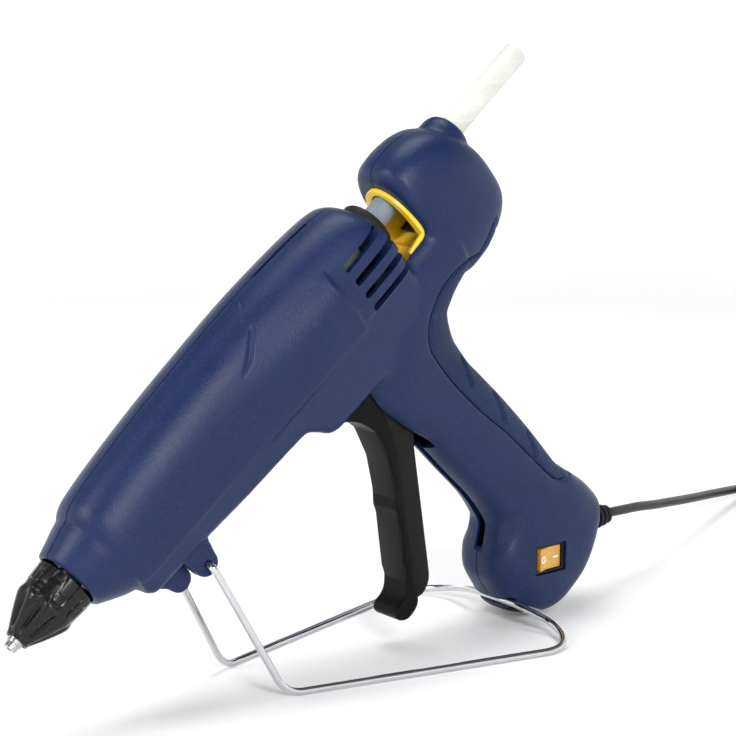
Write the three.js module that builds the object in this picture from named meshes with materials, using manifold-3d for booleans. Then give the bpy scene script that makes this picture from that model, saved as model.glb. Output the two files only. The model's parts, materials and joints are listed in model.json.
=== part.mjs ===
// Hot-melt glue gun for 12 mm sticks, standing nose-down on its folding wire stand.
// Millimetres, +Z up.  -X is the nozzle end, -Y the gun's left side.  The origin is on the floor,
// under the middle of the gun and its stand.
//
// Most pieces are drawn in the gun's own frame, (s, y, h): s runs along the glue stick from the
// nozzle's mouth to the rear, h is square to it and away from the handle, y is to the right side.
// The group "gun" tips that frame nose-down by PITCH.
import * as THREE from 'three';
import { mergeVertices } from 'three/addons/utils/BufferGeometryUtils.js';
import Module from 'manifold-3d';

const wasm = await Module();
wasm.setup();

// ---------------------------------------------------------------- driving dimensions
const PITCH = THREE.MathUtils.degToRad(39.6); // nose-down angle of the barrel
const NOZZLE_X = -176.4; // nozzle mouth, from the middle of the gun and its stand
const NOZZLE_Z = 44; // nozzle mouth above the floor
const GAP = 0.3; // clearance between touching pieces
const WALL = 2.6; // moulded wall of the two housing shells

const STICK_R = 6; // 12 mm glue stick
const STICK_FRONT = 128;
const STICK_END = 370;

const TRIGGER_PIVOT = { s: 204, h: -66 };
const PIVOT_REACH = 12.4; // half-length of the trigger's pin
const DRIVE_PIN = { s: 198, h: -25.3 };
const CARRIAGE = { front: 184, rear: 212 };
const ROD = { y: 10.6, h: -12, r: 2 };
const ARCH_FRONT = 264.4; // front face of the arch the stick passes under

const WIRE_R = 1.75; // stand wire
const STAND_PIVOT = { s: 84.7, h: -40.4 };
const STAND_FRONT_X = 126.7; // front corners of the stand, from the nozzle mouth
const STAND_FRONT_Y = 23.9;
const STAND_REAR_Y = 60.5;
const STAND_CLIP = { s: 191, h: -199.8 }; // where the handle's foot sits on the wire

const CORD_R = 2.5; // 5 mm mains cord
const COIL = { x: 402.2, y: 46.8, inner: 17.2, outer: 38, bottom: 1.5, top: 11.9 };
const PLUG = { x: 437.4, y: -2, z: 7 };

const SWITCH = { s: 218.8, h: -195.8, length: 19.2, width: 14.2, tilt: 14 };

// ---------------------------------------------------------------- materials
function finish(color, roughness, metalness = 0) {
  return () => new THREE.MeshStandardMaterial({ color, roughness, metalness });
}
const navy = finish(0x1b2a52, 0.62);
const softGrip = finish(0x223158, 0.8);
const black = finish(0x17171a, 0.48);
const rubber = finish(0x121214, 0.7);
const yellow = finish(0xe3a614, 0.5);
const amber = finish(0xd9821a, 0.25);
const glue = finish(0xe9e6da, 0.3);
const chrome = finish(0xd8dadd, 0.12, 1);
const steel = finish(0xa9abad, 0.35, 1);
const brass = finish(0xc9a24a, 0.35, 1);
const aluminium = finish(0xb4b7ba, 0.45, 1);
const silicone = finish(0x8c3a2e, 0.75);
const ceramic = finish(0xd8d3c4, 0.7);
const boardGreen = finish(0x1f5b34, 0.55);

// ---------------------------------------------------------------- solids
function solidOf(geometry) {
  const bare = geometry.clone();
  bare.deleteAttribute('normal');
  bare.deleteAttribute('uv');
  const merged = mergeVertices(bare, 1e-4);
  return new wasm.Manifold(new wasm.Mesh({
    numProp: 3,
    vertProperties: new Float32Array(merged.attributes.position.array),
    triVerts: new Uint32Array(merged.index.array),
  }));
}

function geometryOf(solid) {
  const mesh = solid.getMesh();
  const geometry = new THREE.BufferGeometry();
  geometry.setAttribute('position', new THREE.BufferAttribute(new Float32Array(mesh.vertProperties), 3));
  geometry.setIndex(new THREE.BufferAttribute(new Uint32Array(mesh.triVerts), 1));
  geometry.computeVertexNormals();
  return geometry;
}

function union(solids) {
  return solids.reduce((all, next) => all.add(next));
}

// A closed body through rings of points, all with the same count, with flat ends.
function loft(rings) {
  const count = rings[0].length;
  const positions = [];
  const index = [];
  const middle = (ring) => ring.reduce((sum, p) => sum.add(p), new THREE.Vector3()).divideScalar(count);
  rings.forEach((ring) => ring.forEach((p) => positions.push(p.x, p.y, p.z)));
  const first = rings.length * count;
  [middle(rings[0]), middle(rings[rings.length - 1])].forEach((p) => positions.push(p.x, p.y, p.z));
  for (let i = 0; i < count; i += 1) {
    const j = (i + 1) % count;
    for (let r = 0; r + 1 < rings.length; r += 1) {
      const a = r * count;
      const b = a + count;
      index.push(a + i, b + i, a + j, a + j, b + i, b + j);
    }
    const last = (rings.length - 1) * count;
    index.push(first, i, j, first + 1, last + j, last + i);
  }
  const geometry = new THREE.BufferGeometry();
  geometry.setAttribute('position', new THREE.BufferAttribute(new Float32Array(positions), 3));
  geometry.setIndex(index);
  const solid = solidOf(geometry);
  if (solid.volume() > 0) return solid;
  const flipped = [];
  for (let i = 0; i < index.length; i += 3) flipped.push(index[i], index[i + 2], index[i + 1]);
  geometry.setIndex(flipped);
  return solidOf(geometry);
}

// A plate: an outline in (s, h), [[s, h], ...], between two values of y.
function plate(outline, yLow, yHigh) {
  const shape = new THREE.Shape(outline.map(([s, h]) => new THREE.Vector2(s, h)));
  return plateOfShape(shape, yLow, yHigh);
}

function plateOfShape(shape, yLow, yHigh, curveSegments = 6) {
  const geometry = new THREE.ExtrudeGeometry(shape, {
    depth: yHigh - yLow, bevelEnabled: false, curveSegments,
  });
  geometry.rotateX(Math.PI / 2);
  geometry.translate(0, yHigh, 0);
  return solidOf(geometry);
}

function box(sLow, sHigh, yLow, yHigh, hLow, hHigh) {
  const geometry = new THREE.BoxGeometry(sHigh - sLow, yHigh - yLow, hHigh - hLow);
  geometry.translate((sLow + sHigh) / 2, (yLow + yHigh) / 2, (hLow + hHigh) / 2);
  return solidOf(geometry);
}

// A cylinder across the gun, parallel to y.
function crossCylinder(s, h, radius, yLow, yHigh, sides = 16) {
  const geometry = new THREE.CylinderGeometry(radius, radius, yHigh - yLow, sides);
  geometry.translate(s, (yLow + yHigh) / 2, h);
  return solidOf(geometry);
}

// A turned piece along s: profile [[s, radius], ...], which closes on the axis or on itself.
function turned(profile, sides = ROUND, y = 0, h = 0) {
  const points = profile.map(([s, r]) => new THREE.Vector2(r, s));
  const geometry = new THREE.LatheGeometry(points, sides);
  geometry.rotateZ(-Math.PI / 2);
  geometry.translate(0, y, h);
  const solid = solidOf(geometry);
  if (solid.volume() > 0) return solid;
  const bare = geometry.toNonIndexed();
  const array = bare.attributes.position.array;
  for (let i = 0; i < array.length; i += 9) {
    for (let k = 0; k < 3; k += 1) {
      [array[i + 3 + k], array[i + 6 + k]] = [array[i + 6 + k], array[i + 3 + k]];
    }
  }
  return solidOf(bare);
}

function rod(sLow, sHigh, radius, y = 0, h = 0, sides = ROUND) {
  return turned([[sLow, 0], [sLow, radius], [sHigh, radius], [sHigh, 0]], sides, y, h);
}

function ring(sLow, sHigh, inner, outer, sides = ROUND, h = 0) {
  return turned([[sLow, inner], [sLow, outer], [sHigh, outer], [sHigh, inner], [sLow, inner]], sides, 0, h);
}

// A round bar of the given radius along a curve.
function bar(curve, radius, sides, steps) {
  const section = new THREE.Shape();
  for (let i = 0; i < sides; i += 1) {
    const angle = (2 * Math.PI * i) / sides;
    const x = radius * Math.cos(angle);
    const y = radius * Math.sin(angle);
    if (i === 0) section.moveTo(x, y);
    else section.lineTo(x, y);
  }
  section.closePath();
  return solidOf(new THREE.ExtrudeGeometry(section, { steps, extrudePath: curve, bevelEnabled: false }));
}

// Straight stretches with rounded corners through hand-set corners, {p, cut}: cut is how far from
// the corner the bend starts.
class BentPath extends THREE.CurvePath {
  constructor(corners) {
    super();
    let from = corners[0].p;
    for (let i = 1; i + 1 < corners.length; i += 1) {
      const { p, cut } = corners[i];
      const before = corners[i - 1].p.clone().sub(p).setLength(cut).add(p);
      const after = corners[i + 1].p.clone().sub(p).setLength(cut).add(p);
      this.add(new THREE.LineCurve3(from, before));
      this.add(new THREE.QuadraticBezierCurve3(before, p, after));
      from = after;
    }
    this.add(new THREE.LineCurve3(from, corners[corners.length - 1].p));
  }
}

// ---------------------------------------------------------------- the housing's outside
const RING = 24; // points around a lofted section outside
const INNER_RING = 16; // and inside, where the walls are plain
const ROUND = 18; // sides of a turned piece

// Superellipse about (0, middle): half-width and half-height, with its corner exponent.
function roundSection(half, top, bottom, power, count = RING) {
  const middle = (top + bottom) / 2;
  const rise = (top - bottom) / 2;
  const points = [];
  for (let i = 0; i < count; i += 1) {
    const angle = (2 * Math.PI * i) / count;
    const c = Math.cos(angle);
    const s = Math.sin(angle);
    points.push([
      half * Math.sign(c) * Math.abs(c) ** (2 / power),
      middle + rise * Math.sign(s) * Math.abs(s) ** (2 / power),
    ]);
  }
  return points;
}

// The barrel's section: a round crown down to a ridge low on each side, then flanks that lean in
// to a flat underside.
function barrelSection(half, top, bottom, inset = 0) {
  const ridge = -15.7 + inset * 0.3;
  const belt = -6;
  const points = [];
  const crown = (inset > 0 ? INNER_RING : RING) / 2;
  for (let i = 0; i <= crown; i += 1) {
    const angle = (Math.PI * i) / crown;
    const c = Math.cos(angle);
    points.push([half * Math.sign(c) * Math.abs(c) ** 0.9, belt + (top - belt) * Math.sin(angle) ** 0.95]);
  }
  const foot = Math.min(17.5, half * 0.76) - inset * 0.6;
  const side = [
    [half - 0.4, ridge], [half - 1.6, ridge - 1.6], [foot + 1.6, bottom + 3], [foot, bottom + 0.8],
    [foot - 2.4, bottom], [foot * 0.45, bottom],
  ];
  side.forEach(([y, h]) => points.push([-y, h]));
  side.reverse().forEach(([y, h]) => points.push([y, h]));
  return points;
}

// Stations [s, half-width, top, bottom].
const NOSE = [[38, 15.8, 15.8, -15.8], [45, 18.2, 17.6, -20.6], [52, 20.6, 19.4, -24.6],
  [57.5, 21.6, 20.3, -26.8]];
const BARREL = [
  [55.5, 21.4, 21.2, -25.4], [58.5, 22.8, 22.8, -28], [63, 23.6, 24.2, -28.8], [87, 24.6, 26.9, -30],
  [118, 25.4, 28.8, -32.9], [150, 25.8, 29.6, -35.1], [158, 25.9, 29.7, -36], [163.5, 25.9, 29.8, -41],
  [168, 25.9, 29.8, -46.4], [173, 26, 29.7, -48.3], [182, 26, 29.5, -48.9], [208, 26, 28, -50.6],
  [228, 26, 25.9, -52.4], [238, 25.7, 23.6, -53.6], [243.5, 24.8, 20, -54], [246.5, 23, 15, -52.6],
];
const FOOT_END = -224.4; // flat end of the foot
// Stations [h, half-width, front s, back s] of the handle and its foot.
const HANDLE = [
  [-40, 21.2, 200, 266], [-52, 20.6, 196, 260.6], [-62, 19.8, 195.6, 255], [-74, 18.8, 198, 251.4],
  [-86, 18.2, 201.4, 251.2], [-100, 17.8, 206.2, 253], [-124, 17.7, 208.9, 256.2],
  [-150, 18.2, 211.4, 258.2],
  [-163, 19, 210.4, 258.6], [-170, 20, 203.6, 258.8], [-176, 20.7, 195.8, 260], [-184, 21.5, 191, 262.6],
  [-193, 22, 189.8, 265], [-203, 22, 189, 266], [-207, 21.9, 189.6, 264.8], [-213, 21.4, 193.4, 258],
  [-218, 20.4, 198, 249.4], [-222, 18.4, 204, 241.4], [FOOT_END, 15.4, 210, 236],
];
// Stations [s, half-width, top, bottom] of the head that guides the stick in.
const HEAD = [
  [266, 17.4, 13.6, -44], [268.6, 20, 17.6, -49.4], [272.5, 21.6, 19.4, -53], [280, 22.2, 19.9, -55],
  [289, 22, 19, -54.8], [298, 21.2, 16.2, -52.6], [306, 19.6, 10, -49.2], [312.4, 16.8, 0, -44],
  [315.8, 11.8, -11.8, -36.8],
];
// The bridge under the window, between the barrel and the head.
const BRIDGE = [[238, 21.6, -14.4, -64], [252, 21.6, -14.4, -63], [262, 21.8, -14.4, -60],
  [275, 22, -14.4, -56]];

function alongS(stations, section, inset) {
  return loft(stations.map(([s, half, top, bottom]) => (
    section(half - inset, top - inset, bottom + inset, inset).map(([y, h]) => new THREE.Vector3(s, y, h))
  )));
}
const crownSection = (half, top, bottom) => roundSection(half, top, bottom, 2.05);
const boxySection = (half, top, bottom, inset) => roundSection(half, top, bottom, 2.7,
  inset > 0 ? INNER_RING : RING);
const bridgeSection = (half, top, bottom) => roundSection(half, top, bottom, 3.4);

function handleLoft(stations, inset) {
  return loft(stations.map(([h, half, front, back]) => (
    roundSection(half - inset, back - inset, front + inset, 2.5, inset > 1 ? INNER_RING : RING)
      .map(([y, s]) => new THREE.Vector3(s, y, h))
  )));
}

function outerBody() {
  const collar = turned([[298, 0], [298, 12.6], [310, 12.6], [313.8, 11.6], [315.4, 9.6], [315.4, 0]],
    24, 0, -1);
  return union([
    alongS(NOSE, crownSection, 0), alongS(BARREL, barrelSection, 0), handleLoft(HANDLE, 0),
    alongS(HEAD, boxySection, 0), alongS(BRIDGE, bridgeSection, 0), collar,
  ]);
}

// The hollow inside: each stretch of the body, one wall thinner, joined up where wires and levers pass.
function innerBody() {
  const barrel = BARREL.filter(([s]) => s > 60 && s < 240);
  const handle = HANDLE.filter(([h]) => h > -222);
  const noseTube = turned([[36, 0], [36, 13.4], [45, 15.4], [66, 18.6], [66, 0]]);
  return union([
    noseTube, alongS(barrel, barrelSection, WALL), handleLoft(handle, WALL),
    alongS(HEAD.filter(([s]) => s > 268 && s < 314), boxySection, WALL + 0.2),
  ]);
}

// ---------------------------------------------------------------- cuts and fittings of the shells
function ventSlots() {
  const slots = [];
  for (let i = 0; i < 4; i += 1) {
    const h = 9.4 - i * 8.1;
    slots.push(box(217, 250, -30, -16, h - 1.8, h + 1.8), box(217, 250, 16, 30, h - 1.8, h + 1.8));
  }
  const crownSlot = box(191, 227, -0.9, 0.9, 18, 40);
  return union(slots).add(crownSlot);
}

function windowCut() {
  // The open gap over the bridge, and the trough in it that the stick guide fills.
  const gap = box(246.8, 266.6, -30, 30, -13.6, 40);
  const trough = box(243.6, 281, -16.2, 16.2, -31, 10.4);
  return gap.add(trough);
}

function triggerOpening() {
  return plate([[168, -70], [168, -38], [207, -38], [212, -104], [197, -104], [190, -70]], -10, 10);
}

function triggerSlot() {
  return plate([[196, -98], [222, -98], [222, -172], [196, -172]], -2.7, 2.7);
}

function clipGroove() {
  const { s, h } = STAND_CLIP;
  const round = crossCylinder(s + 0.3, h, WIRE_R + 0.5, -30, 30);
  const mouth = plate([[s - 12, h - 7], [s - 12, h + 2.4], [s + 0.4, h + 2.2], [s + 0.9, h - 2.2],
    [s - 1, h - 3.2]], -30, 30);
  return round.add(mouth);
}

// The stretch of the left flank that the rocker switch fills, turned to lie level.
function switchBox(grow, yLow, yHigh) {
  const geometry = new THREE.BoxGeometry(SWITCH.length + 2 * grow, yHigh - yLow, SWITCH.width + 2 * grow);
  geometry.rotateY(PITCH);
  geometry.translate(SWITCH.s, (yLow + yHigh) / 2, SWITCH.h);
  return solidOf(geometry);
}

function lug(side) {
  const { s, h } = STAND_PIVOT;
  const shape = new THREE.Shape();
  shape.moveTo(s - 8, -27);
  shape.lineTo(s + 9, -27);
  shape.lineTo(s + 6.2, h + 1);
  shape.absarc(s, h + 0.6, 6.2, 0.06, -Math.PI - 0.06, true);
  shape.closePath();
  const low = side < 0 ? -16 : 9;
  const eye = crossCylinder(s, h, WIRE_R + GAP, low - 1, low + 8, 12);
  return plateOfShape(shape, low, low + 7).subtract(eye);
}

const SCREWS = [
  { s: 73.5, h: -41, reach: 4.5 }, { s: 166, h: -36.5, reach: 16 }, { s: 232, h: -34, reach: 17 },
  { s: 276, h: -42, reach: 15 }, { s: 292, h: -38, reach: 14 }, { s: 231, h: -84, reach: 13 },
  { s: 247, h: -176, reach: 14.5 }, { s: 212, h: -214, reach: 14 },
];
const SCREW = { shank: 1.7, head: 3.2, headLength: 2.4, boss: 4.2 };

// The nose's underside carries the first screw in a half-round ear, with a bent rib before it.
function noseEar() {
  const shape = new THREE.Shape();
  shape.moveTo(67.5, -24);
  shape.lineTo(79.5, -24);
  shape.lineTo(79.5, -41);
  shape.absarc(73.5, -41, 6, 0, -Math.PI, true);
  shape.closePath();
  const rib = plate([[64, -24], [66.4, -24], [66.4, -36], [70.5, -41], [70.5, -44.6], [68.4, -44.6],
    [68.4, -41.6],
    [64, -36.6]], -5, 5);
  return plateOfShape(shape, -6.6, 6.6).add(rib);
}

function reliefHole() {
  const drill = (radius, xLow, xHigh) => {
    const geometry = new THREE.CylinderGeometry(radius, radius, xHigh - xLow, 14);
    geometry.rotateZ(Math.PI / 2);
    geometry.translate(RELIEF.x + (xLow + xHigh) / 2, RELIEF.y, RELIEF.z);
    geometry.applyMatrix4(gunMatrix.clone().invert());
    return solidOf(geometry);
  };
  return drill(5.2, -12, 12).add(drill(6.9, -8.4, -5 + GAP));
}

// The soft inlay's bed: a shallow step round the back of the handle.
function gripZone(grow) {
  const shape = new THREE.Shape();
  shape.moveTo(300, -40 + grow);
  shape.lineTo(283 + grow, -46.5 + grow);
  shape.quadraticCurveTo(262 - grow, -34 + grow, 246 - grow, -43 + grow);
  shape.quadraticCurveTo(233.6 - grow, -50, 231.6 - grow, -60);
  shape.quadraticCurveTo(231.6 - grow, -92, 241.4 - grow, -128);
  shape.lineTo(247 - grow, -166 - grow);
  shape.quadraticCurveTo(249 - grow, -176 - grow, 262, -180 - grow);
  shape.lineTo(300, -180 - grow);
  shape.closePath();
  return plateOfShape(shape, -40, 40);
}

function gripSolid(inset, grow) {
  const skin = union([
    handleLoft(HANDLE.filter(([h]) => h > -200), inset), alongS(HEAD, boxySection, inset),
    alongS(BRIDGE, bridgeSection, inset),
  ]);
  return skin.intersect(gripZone(grow));
}

// ---------------------------------------------------------------- frame of the gun
const gun = new THREE.Group();
gun.position.set(NOZZLE_X, 0, NOZZLE_Z);
gun.rotation.y = -PITCH;
gun.updateMatrix();
const gunMatrix = gun.matrix.clone();
const RELIEF = { x: NOZZLE_X + 333.4, y: 0, z: 40.2 }; // where the cord's axis leaves the foot
const glueGun = new THREE.Group();
glueGun.add(gun);

function worldPoint(s, y, h) {
  return new THREE.Vector3(s, y, h).applyMatrix4(gunMatrix);
}

function put(parent, name, solid, material) {
  const mesh = new THREE.Mesh(solid instanceof wasm.Manifold ? geometryOf(solid) : solid, material());
  mesh.name = name;
  parent.add(mesh);
  return mesh;
}

// ---------------------------------------------------------------- housing
function buildHousing() {
  const gripBed = gripSolid(-1, GAP).subtract(gripSolid(1.5, 2));
  let shell = outerBody().add(noseEar()).add(lug(-1)).add(lug(1));
  shell = shell.subtract(innerBody());
  const bosses = SCREWS.slice(1).map(({ s, h, reach }) => crossCylinder(s, h, SCREW.boss, -reach - 3,
    reach + 3, 10));
  const pivotBoss = crossCylinder(TRIGGER_PIVOT.s, TRIGGER_PIVOT.h, 5, -19, 19, 14);
  const pivotGap = crossCylinder(TRIGGER_PIVOT.s, TRIGGER_PIVOT.h, 7, -10, 10, 14);
  shell = shell.add(union(bosses).intersect(outerBody())).add(pivotBoss.subtract(pivotGap).intersect(outerBody()));
  const cuts = [
    ventSlots(), windowCut(), triggerOpening(), triggerSlot(), clipGroove(), switchBox(GAP, -40, 4),
      reliefHole(),
    gripBed, rod(296, 330, 7.2, 0, 0), rod(236, 250, 9.8, 0, 0, 20),
    crossCylinder(TRIGGER_PIVOT.s, TRIGGER_PIVOT.h, 2.8, -PIVOT_REACH - GAP, PIVOT_REACH + GAP, 12),
    plate([[190.6, -227], [188, -204.2], [193.4, -203.6], [197, -209.6], [206, -227]], -17.3, 17.3),
  ];
  SCREWS.forEach(({ s, h, reach }) => {
    cuts.push(crossCylinder(s, h, SCREW.shank + GAP, -reach, 30, 10));
    cuts.push(crossCylinder(s, h, SCREW.head + GAP, reach - 2 - GAP, 30, 12));
  });
  shell = shell.subtract(union(cuts));
  const half = (low, high) => shell.intersect(box(0, 400, low, high, -260, 60));
  const biggest = (solid) => solid.decompose().reduce((a, b) => (a.volume() > b.volume() ? a : b));
  put(gun, 'housing_left', biggest(half(-60, -0.15)), navy);
  put(gun, 'housing_right', biggest(half(0.15, 60)), navy);
  const grip = gripSolid(0, 0).subtract(gripSolid(1.5 - GAP, 5));
  put(gun, 'soft_grip', biggest(grip), softGrip);
  const pad = plate([[191.4, -226], [189, -205], [193, -204.4], [196.2, -209.8], [203.4, -226]], -17, 17);
  put(gun, 'stand_clip_pad', biggest(pad.intersect(handleLoft(HANDLE, 0)).subtract(clipGroove())), rubber);
}

function buildScrews() {
  SCREWS.forEach(({ s, h, reach }, i) => {
    const headBase = reach - 2;
    const shank = crossCylinder(s, h, SCREW.shank, -reach + 1, headBase + 0.5, 10);
    const head = crossCylinder(s, h, SCREW.head, headBase, headBase + SCREW.headLength, 12);
    const slot = box(s - 2.2, s + 2.2, headBase + 1.2, headBase + 4, h - 0.4, h + 0.4);
    const cross = box(s - 0.4, s + 0.4, headBase + 1.2, headBase + 4, h - 2.2, h + 2.2);
    put(gun, `housing_screw_${i + 1}`, shank.add(head).subtract(slot).subtract(cross), steel);
  });
}

// ---------------------------------------------------------------- stick path
function buildStickPath() {
  put(gun, 'glue_stick', rod(STICK_FRONT, STICK_END, STICK_R, 0, 0, 24), glue);
  const sleeve = turned([[238, 6.9], [238, 9.4], [247.4, 9.4], [247.4, 13.4], [252.6, 13.4], [252.6, 8.4],
    [249, 6.9], [238, 6.9]]);
  put(gun, 'inlet_sleeve', sleeve, rubber);
  const guideWidth = 16.2 - GAP;
  const outside = box(253.4, 280.6, -guideWidth, guideWidth, -30.6, 10);
  const trough = box(250, ARCH_FRONT, -guideWidth + 2.2, guideWidth - 2.2, -28.6, 20);
  const aboveTrough = box(250, ARCH_FRONT, -20, 20, -13.6, 20);
  const tunnel = plate([[262, -24], [262, 7.6], [290, 7.6], [290, -24]], -11.2, 11.2);
  put(gun, 'stick_guide', outside.subtract(trough).subtract(aboveTrough).subtract(tunnel), yellow);
  put(gun, 'guide_plate', box(271, 280, -11, 11, -23.6, -22.2), black);
}

// ---------------------------------------------------------------- nozzle
const COVER_STATIONS = [[4.5, 5.2, 0.1], [8, 6.8, 0.5], [13, 9.6, 1.1], [18, 12.1, 1.3], [22, 13.6, 0.9],
  [25, 13.4, 0.3],
  [31, 13.7, 0], [36.6, 14, 0]];

function buildNozzle() {
  const tip = turned([[0, 1.2], [0, 3], [6, 4.1], [10, 4.1], [10, 5.4], [17, 5.4], [17, 7.6], [30, 7.6],
    [30, 6],
    [46, 6], [46, 4.2], [33.8, 4.2], [33.8, 2.2], [31.8, 2.2], [31.8, 3.4], [17, 3.4], [14.6, 1.2],
    [0, 1.2]], 16);
  put(gun, 'nozzle_tip', tip, steel);
  const cover = loft(COVER_STATIONS.map(([s, radius, flute]) => {
    const points = [];
    for (let i = 0; i < 32; i += 1) {
      const angle = (2 * Math.PI * i) / 32;
      const r = radius - flute * (1 + Math.cos(8 * angle)) / 2;
      points.push(new THREE.Vector3(s, r * Math.cos(angle), r * Math.sin(angle)));
    }
    return points;
  }));
  const hollow = turned([[2, 0], [2, 4.5], [9.6, 4.5], [9.6, 5.8], [16.6, 5.8], [16.6, 8], [24, 8],
    [30, 11], [38, 11.6],
    [38, 0]]);
  put(gun, 'nozzle_cover', cover.subtract(hollow), black);
  const ball = new THREE.SphereGeometry(2.4, 10, 7);
  ball.translate(17.3, 0, 0);
  put(gun, 'valve_ball', solidOf(ball), steel);
  put(gun, 'valve_spring', spring(20.1, 31.4, 2.6, 0.4, 4, 0, 0), steel);
}

// A coil spring along s, as one closed bar.
function spring(sLow, sHigh, radius, wire, turns, y, h) {
  class Helix extends THREE.Curve {
    getPoint(t, target = new THREE.Vector3()) {
      const angle = 2 * Math.PI * turns * t;
      const run = sLow + wire + (sHigh - sLow - 2 * wire) * t;
      return target.set(run, y + radius * Math.cos(angle), h + radius * Math.sin(angle));
    }
  }
  return bar(new Helix(), wire, 4, turns * 8);
}

// ---------------------------------------------------------------- heating
function buildHeater() {
  const chamber = turned([[41, 6.4], [41, 8], [47, 8], [47, 12], [132, 12], [132, 9], [146, 9],
    [146, 6.6], [110, 6.6],
    [104, 4], [52, 4], [48, 6.4], [41, 6.4]]);
  const seat = box(66, 128, -9, 9, -14, -9);
  const channel = rod(50, 140, 6.6);
  put(gun, 'melt_chamber', chamber.add(seat.subtract(channel)), aluminium);
  put(gun, 'heater_element', box(69, 125, -8.4, 8.4, -17.4, -14.3), ceramic);
  const strap = plate([[68, -17.7], [126, -17.7], [126, -19.4], [68, -19.4]], -7, 7);
  put(gun, 'heater_clamp', strap, steel);
  put(gun, 'front_holder', ring(42, 46, 8.4, 13), ceramic);
  const rearPlate = ring(134, 137, 9.4, 19).subtract(rod(130, 140, ROD.r + GAP, ROD.y, ROD.h, 12))
    .subtract(rod(130, 140, ROD.r + GAP, -ROD.y, ROD.h, 12));
  put(gun, 'rear_holder', rearPlate, ceramic);
  put(gun, 'thermal_cutout', rod(92, 108, 3, 0, 15.6, 14), ceramic);
  put(gun, 'inlet_hose', ring(146.4, 168, 6.5, 8.8), silicone);
}

// ---------------------------------------------------------------- feed
function buildFeed() {
  const { front, rear } = CARRIAGE;
  let carriage = box(front, rear, -14, 14, -16.4, 9).subtract(box(front + 6, rear - 6, -20, 20, -10.8, 20));
  carriage = carriage.subtract(rod(front - 1, rear + 1, STICK_R + 0.6, 0, 0, 20));
  const cheek = (low, high) => plate([[189, -15], [207, -15], [203.6, -29.6], [192.4, -29.6]], low, high);
  carriage = carriage.add(cheek(-8.6, -5.4)).add(cheek(5.4, 8.6));
  [-1, 1].forEach((side) => {
    carriage = carriage.subtract(rod(front - 1, rear + 1, ROD.r + GAP, side * ROD.y, ROD.h, 12));
  });
  carriage = carriage.subtract(crossCylinder(DRIVE_PIN.s, DRIVE_PIN.h, 2 + GAP, -10, 10, 12));
  put(gun, 'feed_carriage', carriage, black);
  put(gun, 'drive_pin', crossCylinder(DRIVE_PIN.s, DRIVE_PIN.h, 2, -8.8, 8.8, 12), steel);
  const jaw = plate([[191, -10.2], [205.4, -10.2], [205.4, -7.6], [203, -7.4], [201, -8.4], [199, -7.4],
    [197, -8.4],
    [195, -7.4], [193, -8.4], [191, -7.6]], -6, 6);
  put(gun, 'clamp_jaw', jaw, steel);
  ['left', 'right'].forEach((name, i) => {
    const y = i === 0 ? -ROD.y : ROD.y;
    put(gun, `guide_rod_${name}`, rod(133, 234, ROD.r, y, ROD.h, 12), steel);
    put(gun, `return_spring_${name}`, spring(137.6, 183.6, 3.1, 0.45, 7, y, ROD.h), steel);
  });
  put(gun, 'rod_support', rodSupport(), black);
}

function rodSupport() {
  let support = box(230, 237.6, -14.6, 14.6, -17, -7.6);
  [-1, 1].forEach((side) => {
    support = support.subtract(rod(225, 234.3, ROD.r + GAP, side * ROD.y, ROD.h, 12));
  });
  return support.subtract(rod(225, 245, 9.8));
}

// ---------------------------------------------------------------- trigger
// Side outline of the finger bow: the hooked top, three finger hollows, the toe and the rear edge.
function triggerOutline() {
  const shape = new THREE.Shape();
  shape.moveTo(207, -74);
  shape.lineTo(206, -60);
  shape.quadraticCurveTo(201, -52, 192, -49.4);
  shape.lineTo(178.4, -48.6);
  shape.quadraticCurveTo(176.6, -50.4, 178.8, -53.6);
  shape.quadraticCurveTo(188, -60, 190, -75);
  shape.quadraticCurveTo(189.6, -82, 186, -88.4);
  const knuckles = [[173.6, -110.4], [160.6, -133.4], [152.8, -146.2]];
  let [s, h] = [186, -88.4];
  knuckles.forEach(([nextS, nextH]) => {
    shape.quadraticCurveTo((s + nextS) / 2 + 4.4, (h + nextH) / 2 + 2.2, nextS, nextH);
    [s, h] = [nextS, nextH];
  });
  shape.quadraticCurveTo(149, -149, 144.4, -148);
  shape.quadraticCurveTo(139.6, -149.4, 140.8, -153.6);
  shape.quadraticCurveTo(143.6, -158.6, 149.4, -157.4);
  shape.quadraticCurveTo(163.6, -159.6, 168.6, -149.6);
  shape.quadraticCurveTo(184, -124, 201, -95.4);
  shape.closePath();
  return shape;
}

function buildTrigger() {
  const { s, h } = TRIGGER_PIVOT;
  const bow = plateOfShape(triggerOutline(), -9.2, 9.2, 5);
  const boss = crossCylinder(s, h, 6.2, -9.2, 9.2, 18);
  const arm = plate([[194, -66], [206, -66], [203.4, -22.4], [192.6, -22.4]], -4.8, 4.8);
  const { s: pinS, h: pinH } = DRIVE_PIN;
  const fork = plate([[pinS - 2.5, pinH - 4], [pinS + 2.5, pinH - 4], [pinS + 2.5, pinH + 8],
    [pinS - 2.5, pinH + 8]], -6, 6);
  const web = plate([[176, -132], [186, -110], [206, -88], [208, -94], [200, -112], [184, -140]], -2, 2);
  let trigger = bow.add(boss).add(arm).add(web);
  const lightening = plate([[184.5, -112], [196, -97], [191.5, -95.5], [181.5, -110]], 3, 12);
  trigger = trigger.subtract(fork).subtract(crossCylinder(s, h, 2.8, -20, 20, 12)).subtract(lightening);
  put(gun, 'trigger', trigger, black);
  put(gun, 'trigger_pin', crossCylinder(s, h, 2.5, -PIVOT_REACH, PIVOT_REACH, 12), steel);
}

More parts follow.
